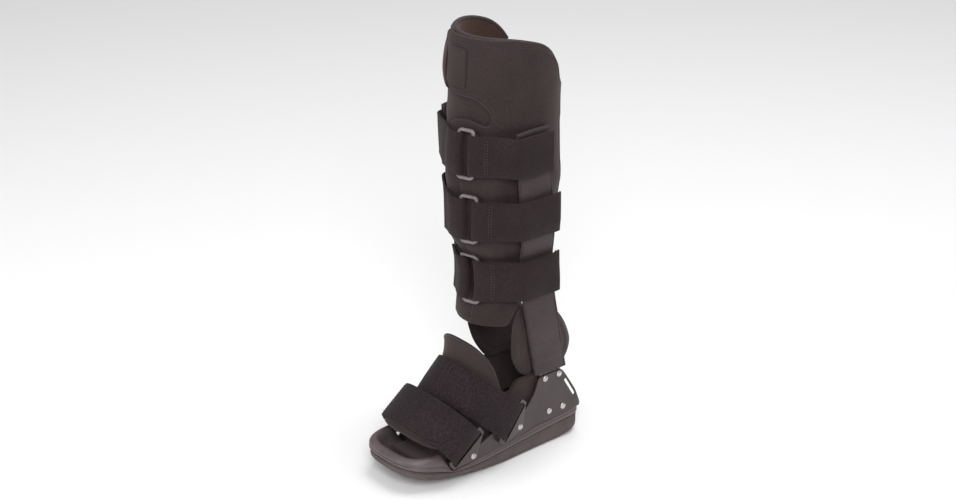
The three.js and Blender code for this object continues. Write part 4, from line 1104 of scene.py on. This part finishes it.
def buildRing(row):
    half = row["width"] / 2 + webbing["ringBar"] / 2 + 2.1
    wide = (webbing["ringWidth"] - webbing["ringBar"]) / 2
    corner = webbing["ringBar"]
    rise = webbing["gap"] * 2 + webbing["thickness"] + webbing["ringBar"] / 2
    loop = []
    for cx, cy, start in ((wide - corner, half - corner, 0), (-wide + corner, half - corner, pi / 2),
                          (-wide + corner, -half + corner, pi), (wide - corner, -half + corner, 3 * pi / 2)):
        loop += [(cx + corner * cos(turn), cy + corner * sin(turn)) for turn in steps(5, start, start + pi / 2)]
        if cy > 0 and cx < 0:
            loop += [(-wide, y) for y in steps(14, half - corner, -half + corner)[1:-1]]
    loop += [(wide, y) for y in steps(14, -half + corner, half - corner)[1:-1]]
    rings = []
    for i, (x, y) in enumerate(loop):
        before = Vector(loop[i - 1])
        after = Vector(loop[(i + 1) % len(loop)])
        ahead = (after - before).normalized()
        ring = []
        for k in range(12):
            turn = 2 * pi * k / 12
            spread = copysign(abs(cos(turn)) ** 0.7, cos(turn)) * webbing["ringBar"] / 2
            height = copysign(abs(sin(turn)) ** 0.7, sin(turn)) * webbing["ringBar"] / 2
            u = x + ahead.y * spread
            v = y - ahead.x * spread
            angle = row["ring"] + beltDegrees(u, row["middle"])
            ring.append(onBelt(angle, row["middle"] + v + slant(row, angle), rise + height))
        rings.append(ring)
    return skin(rings, joined=True)


# Sewing by each fold: two upright rows that hold the doubled strap
def buildStrapSewing(row, bar, turning, reach):
    thick = webbing["thickness"]
    rows = []
    for distance in reach:
        angle = bar - turning * beltDegrees(distance, row["middle"])
        share = ease(distance, 0, 26)
        lift = webbing["gap"] * 2 + thick + webbing["ringBar"] + webbing["gap"]
        offset = blend(lift, 2 * webbing["gap"] + thick, share) + thick + 0.05
        z = row["middle"] + slant(row, angle)
        points = [(angle, z + across) for across in steps(30, -row["width"] / 2 + 3, row["width"] / 2 - 3)]
        rows.append(sewnRow(points, lambda a, z, o=offset: onBelt(a, z, o), legNormal))
    return together(rows)


for name, row in strapRows.items():
    z = row["middle"]
    nearBar = row["ring"] + ringDegrees(row)
    farBar = row["ring"] - ringDegrees(row)
    near = buildStrap(row, strapRun(row, strapEnd(row), nearBar, strapEnd(row) + 1, -1), 0)
    newPiece("shinStrap_" + name + "_near", near, "loopWebbing", ["shin_strap_" + name + "_near"], 50)
    farEnd = farBar - beltDegrees(webbing["fold"], z)
    far = buildStrap(row, strapRun(row, -strapEnd(row), farBar, farEnd, 1), 2)
    newPiece("shinStrap_" + name + "_far", far, "loopWebbing", ["shin_strap_" + name + "_far"], 50)
    newPiece("shinRing_" + name, buildRing(row), "ringNylon", ["shin_ring_" + name], 50)
    sewing = together([buildStrapSewing(row, nearBar, -1, (13, 15.5)), buildStrapSewing(row, farBar, 1, (12, 30))])
    newPiece("strapStitching_" + name, sewing, "thread", (), 60)
print("shin straps made")


# Foot straps pass over the foot between slotted tabs
footStraps = {
    "instep": {"pivotY": -20, "pivotRise": 13.5, "slope": 48, "crown": 62, "near": -0.02, "far": -0.62},
    "forefoot": {"pivotY": -88, "pivotRise": 8, "slope": 38, "crown": 29, "near": -0.62, "far": -0.62},
}
tab = {"thickness": 2, "slotLength": 46, "slotWidth": 9, "bar": 3.6, "reach": 11.5, "corner": 6.5, "lean": 7,
       "edge": 0.45}
barMiddle = tab["reach"] + tab["slotWidth"] + tab["bar"] / 2
footStrapWidth = 44


def footPlace(strap, across, rise, x):
    turn = radians(strap["slope"])
    y = strap["pivotY"] + across * cos(turn) - rise * sin(turn)
    z = plateBottom(strap["pivotY"]) + strap["pivotRise"] + across * sin(turn) + rise * cos(turn)
    return Vector((x, y, z))


def tabLift(rise):
    return 0.3 + (rise + tab["corner"]) * tan(radians(tab["lean"]))


def strapSide(strap, across):
    return plateSide(footPlace(strap, across, barMiddle, 0).y)


def overFoot(strap, turn, across, reach):
    def blunt(value):
        return copysign(abs(value) ** 0.8, value)
    half = strapSide(strap, across) + tabLift(barMiddle) - webbing["thickness"] - 0.6
    rise = barMiddle + tab["bar"] + 2 + blunt(cos(turn)) * (strap["crown"] + reach)
    return footPlace(strap, across, rise, blunt(sin(turn)) * (half + reach))


def buildTab(strap, side):
    half = tab["slotLength"] / 2
    outer = half + tab["bar"]
    top = tab["reach"] + tab["slotWidth"] + tab["bar"]
    corners = [(outer, tab["reach"] - 1), (outer, top), (-outer, top), (-outer, tab["reach"] - 1)]
    outline = roundCorners(corners, 3.2)
    outline += [(tab["corner"] * cos(turn), tab["corner"] * sin(turn)) for turn in steps(9, pi * 1.12, pi * 1.88)]
    low = tab["reach"]
    high = tab["reach"] + tab["slotWidth"]
    slot = roundCorners([(half, low), (half, high), (-half, high), (-half, low)], 1.6, 4)

    def bend(across, rise, height):
        place = footPlace(strap, across, rise, 0)
        place.x = side * (plateSide(place.y) + tabLift(rise) + tab["thickness"] / 2 + height)
        return place

    return flatPlate([outline, slot], tab["thickness"], tab["edge"], bend, creasesAcross(0, -26, 26, 6))


# The strap's stations: over the foot, round the bar of each tab, and back up over itself on both sides
def footStrapRun(strap):
    thick = webbing["thickness"]

    def beside(side, rise, out):
        def place(across):
            x = strapSide(strap, across) + tabLift(barMiddle) + tab["thickness"] / 2 + out
            return footPlace(strap, across, rise, side * x)
        return place

    def over(turn, reach):
        return lambda across: overFoot(strap, turn, across, reach)

    clear = tab["thickness"] / 2 + 0.6
    low = tab["bar"] / 2 + 0.3

    def hook(side):
        run = []
        for w in (-1, -0.93, -0.75, -0.4, 0, 0.4, 0.75, 0.93, 1):
            deep = max(0.3, (1 - abs(w) ** 3) ** 0.5)
            inner = beside(side, barMiddle - low * deep, w * clear)
            outer = beside(side, barMiddle - (low + thick) * deep, w * (clear + thick))
            run.append((outer, inner))
        return run

    def outerLayer(side, end):
        run = []
        for share in steps(46, 1, end):
            reach = thick + 0.3 + (tab["thickness"] + 0.9) * ease(share, 0.8, 0.97)
            turn = share * side * pi / 2
            run.append((over(turn, reach + thick), over(turn, reach)))
        return run

    inner = [(over(share * pi / 2, 0), over(share * pi / 2, thick)) for share in steps(70, -1, 1)]
    farLayer = outerLayer(-1, -strap["far"])
    nearLayer = outerLayer(1, strap["near"])
    return list(reversed(farLayer)) + list(reversed(hook(-1))) + inner + hook(1) + nearLayer


def buildFootStrap(strap):
    rings = []
    for inner, outer in footStrapRun(strap):
        ring = []
        for across, share in webbingSection(footStrapWidth):
            ring.append(inner(across).lerp(outer(across), share))
        rings.append(ring)
    return skin(rings)


def buildFootSewing(strap):
    rows = []
    end = strap["near"] * pi / 2
    for inset in (1.8, 6):
        turn = end + inset / 60
        path = [overFoot(strap, turn, across, 2 * webbing["thickness"] + 0.4) for across in steps(24, -19, 19)]
        out = [Vector((sin(turn), -0.5, cos(turn))).normalized()] * len(path)
        rows.append(stitches(path, out))
    return together(rows)


for name, strap in footStraps.items():
    newPiece(name + "Strap", buildFootStrap(strap), "speckledWebbing", [name + "_strap"], 50)
    newPiece(name + "Stitching", buildFootSewing(strap), "thread", (), 60)
    for side, sideName in ((1, "left"), (-1, "right")):
        newPiece("strapTab_" + name + "_" + sideName, buildTab(strap, side), "powderCoat",
                 ["strap_tab_" + name + "_" + sideName], 35)
        x = side * (plateSide(strap["pivotY"]) + tabLift(0) + tab["thickness"] + 0.05)
        newPiece("tabRivet_" + name + "_" + sideName, buildRivet(footPlace(strap, 0, 0, x), side), "rivetSteel",
                 ["tab_rivet_" + name + "_" + sideName], 50)
print("foot straps made")


# Foot pads: arched, bound round the edge, lifting away from the strap at the back
footPads = {
    "instep": {"back": 24, "front": -6, "lift": 12},
    "forefoot": {"back": -8, "front": 7, "lift": 0},
}
padThickness = 5


def footPadSpan(pad, turn):
    half = footStrapWidth / 2
    fade = (abs(turn) / radians(84)) ** 2.6
    return -blend(half + pad["front"], half * 0.6, fade), blend(half + pad["back"], half * 0.4, fade)


def footPadReach(pad, back, across):
    half = footStrapWidth / 2
    past = max(0, across - half) / half
    return pad["lift"] * past ** 1.3 * ease(back, half, half + pad["back"] + 0.01) if pad["back"] > 0 else 0


def buildFootPad(strap, pad):
    rings = []
    for turn in steps(64, radians(-84), radians(84)):
        front, back = footPadSpan(pad, turn)
        section = []
        radius = padThickness / 2
        top = steps(22, front + radius, back - radius)
        for across in top:
            section.append((across, footPadReach(pad, back, across) - 0.35))
        for bendTurn in steps(6, pi / 2, -pi / 2)[1:-1]:
            across = back - radius + radius * cos(bendTurn)
            section.append((across, footPadReach(pad, back, across) - 0.35 - radius + radius * sin(bendTurn)))
        for across in reversed(top):
            section.append((across, footPadReach(pad, back, across) - 0.35 - padThickness))
        for bendTurn in steps(6, -pi / 2, -3 * pi / 2)[1:-1]:
            across = front + radius + radius * cos(bendTurn)
            section.append((across, -0.35 - radius + radius * sin(bendTurn)))
        rings.append([overFoot(strap, turn, across, reach) for across, reach in section])
    return skin(rings)


def buildPadBinding(strap, pad):
    bands = []
    for edge in (0, 1):
        path = []
        out = []
        for turn in steps(80, radians(-83), radians(83)):
            span = footPadSpan(pad, turn)
            across = span[edge] + (1.2 if edge == 0 else -1.2)
            reach = footPadReach(pad, span[1], across) if edge else 0
            path.append(overFoot(strap, turn, across, reach - 0.35 - padThickness / 2))
            out.append(overFoot(strap, turn, across, reach + 5) - overFoot(strap, turn, across, reach))
        bands.append(edging(path, out, 1.9, padThickness / 2 + 0.55))
    return together(bands)


for name, pad in footPads.items():
    strap = footStraps[name]
    piece = newPiece(name + "Pad", buildFootPad(strap, pad), "padKnit", [name + "_pad"], 60)
    newPiece(name + "PadBinding", buildPadBinding(strap, pad), "bindingTape", (), 60)
print("foot pads made")


# Ankle pads: closed cushions under each sleeve, with a seamed border and piping
anklePad = {
    "outline": [(4, 89), (-4, 94), (-11, 103), (-17, 114), (-20.5, 126), (-22.5, 140), (-23.5, 153), (-22, 166),
                (-14, 177), (3, 181), (22, 173), (38, 158), (48, 145), (56, 131), (61.5, 118), (62, 107),
                (58.5, 97), (51.5, 91), (39, 89), (21, 88.5)],
    "thickness": 9.5, "border": 0.2, "centre": (16, 128),
}


def ankleSurface(y, z, side, depth):
    centre = uprightAt(between(z, 92, 176))
    bend = 0.0006 * (y - centre.y) ** 2
    base = centre.x - uprightLook["sleeveThickness"] / 2 - 0.8 - bend
    return Vector((side * (base + depth), y, z))


def cushionDepth(t):
    border = anklePad["border"]
    dome = (1 - (1 - between(t, 0, 1)) ** 2.6) ** 0.5
    seam = 0.22 * max(0, 1 - abs(t - border) / 0.055)
    return dome * (1 - seam)


def buildAnklePad(side):
    outline = thicken(anklePad["outline"] + [anklePad["outline"][0]], 4)[:-1]
    cy, cz = anklePad["centre"]
    shares = [1, 0.8, 0.6, 0.45, 0.35, 0.28, 0.24, 0.22, 0.2, 0.18, 0.16, 0.12, 0.08, 0.04, 0.015]
    half = anklePad["thickness"] / 2
    rings = []
    for face in (1, -1):
        for t in shares if face > 0 else reversed(shares):
            ring = []
            for y, z in outline:
                py = blend(y, cy, t)
                pz = blend(z, cz, t)
                covered = 1 - ease(abs(py - uprightAt(between(pz, 92, 176)).y), 17, 25)
                puff = half * cushionDepth(t) * (1 if face < 0 else 1 - 0.86 * covered)
                lift = -half + (1.4 * (1 - covered) if face > 0 else 0)
                ring.append(ankleSurface(py, pz, side, lift + face * puff))
            rings.append(ring)
        if face > 0:
            rings.append([ankleSurface(y, z, side, -half + 0.7) for y, z in outline])
    return skin(rings, capped=False)


def buildAnklePiping(side):
    outline = thicken(anklePad["outline"] + [anklePad["outline"][0]], 5)[:-1]
    path = [ankleSurface(y, z, side, -anklePad["thickness"] / 2 + 0.7) for y, z in outline]
    return edging(path, [Vector((side, 0, 0))] * len(path), 1.3, 1.3, joined=True)


for side, name in ((1, "left"), (-1, "right")):
    piece = newPiece("anklePad_" + name, buildAnklePad(side), "padKnit", ["ankle_pad_" + name], 60)
    newPiece("anklePiping_" + name, buildAnklePiping(side), "bindingTape", (), 60)
print("ankle pads made")


# Heel pad: a low wall round the heel inside the wings, its front edges sloping down to the plate
heelPad = {"outer": 37, "thickness": 5, "top": 90, "front": -50, "back": 67}


def buildHeelPad():
    outer = heelPad["outer"]
    bend = heelPad["back"] - outer
    route = [(1, 0, y) for y in steps(34, heelPad["front"], bend)]
    route += [(cos(turn), sin(turn), bend) for turn in steps(30, 0, pi)[1:-1]]
    route += [(-1, 0, y) for y in steps(34, bend, heelPad["front"])]
    rings = []
    for nx, ny, y in route:
        low = deckTop(min(y + ny * outer, plate["back"])) + 7.5
        share = between((y - heelPad["front"]) / (bend - heelPad["front"]), 0, 1)
        high = blend(low + 14, heelPad["top"], ease(share, 0.02, 0.5)) - 8 * abs(ny)
        radius = heelPad["thickness"] / 2
        section = [(radius, z) for z in steps(16, low + radius, high - radius)]
        section += [(radius * cos(turn), high - radius + radius * sin(turn)) for turn in steps(7, 0, pi)[1:-1]]
        section += [(-radius, z) for z in steps(16, high - radius, low + radius)]
        section += [(radius * cos(turn), low + radius + radius * sin(turn)) for turn in steps(7, pi, 2 * pi)[1:-1]]
        ring = []
        for through, z in section:
            reach = outer - radius + through
            if through < 0:
                reach -= 0.6 * noise.noise(Vector((y * 0.05 + ny, z * 0.05, nx)))
            ring.append(Vector((nx * reach, y + ny * reach, z)))
        rings.append(ring)
    return skin(rings)


piece = newPiece("heelPad", buildHeelPad(), "padKnit", ["heel_pad"], 60)
print("heel pad made")


# Plain pale floor, soft studio light, and the camera at the photograph's view
studio = {"azimuth": 51, "pitch": 23.3, "distance": 2.3, "target": (0, -0.039, 0.239), "lens": 2153 * 36 / 956}


def buildFloor():
    material, surface = startMaterial("paleFloor", {"Roughness": 0.9, "Base Color": colour("#f4f4f4")})
    grid = bmesh.new()
    bmesh.ops.create_grid(grid, x_segments=1, y_segments=1, size=9)
    data = bpy.data.meshes.new("floor")
    grid.to_mesh(data)
    grid.free()
    data.materials.append(material)
    floor = bpy.data.objects.new("floor", data)
    bpy.context.scene.collection.objects.link(floor)


def addLight(name, place, target, size, power):
    data = bpy.data.lights.new(name, "AREA")
    data.shape = "DISK"
    data.size = size
    data.energy = power
    light = bpy.data.objects.new(name, data)
    light.location = place
    light.rotation_euler = (Vector(target) - Vector(place)).to_track_quat("-Z", "Y").to_euler()
    bpy.context.scene.collection.objects.link(light)


def setStudio():
    buildFloor()
    world = bpy.data.worlds.new("studio")
    world.use_nodes = True
    world.node_tree.nodes["Background"].inputs["Color"].default_value = colour("#ffffff")
    world.node_tree.nodes["Background"].inputs["Strength"].default_value = 0.4
    bpy.context.scene.world = world
    bpy.context.scene.view_settings.view_transform = "Standard"
    addLight("key", (1.9, -1.4, 1.9), (0, 0, 0.2), 1.2, 46)
    addLight("front", (-0.6, -2.4, 1.3), (0, 0, 0.2), 1.6, 20)
    addLight("above", (0.2, 0.6, 2.6), (0, 0, 0.2), 1.8, 38)
    data = bpy.data.cameras.new("camera")
    data.lens = studio["lens"]
    data.sensor_width = 36
    camera = bpy.data.objects.new("camera", data)
    turn = radians(studio["azimuth"])
    rise = radians(studio["pitch"])
    back = Vector((sin(turn) * cos(rise), -cos(turn) * cos(rise), sin(rise)))
    target = Vector(studio["target"]) + frameShift
    camera.location = target + back * studio["distance"]
    camera.rotation_euler = back.to_track_quat("Z", "Y").to_euler()
    bpy.context.scene.collection.objects.link(camera)
    bpy.context.scene.camera = camera


setStudio()
print("scene complete")
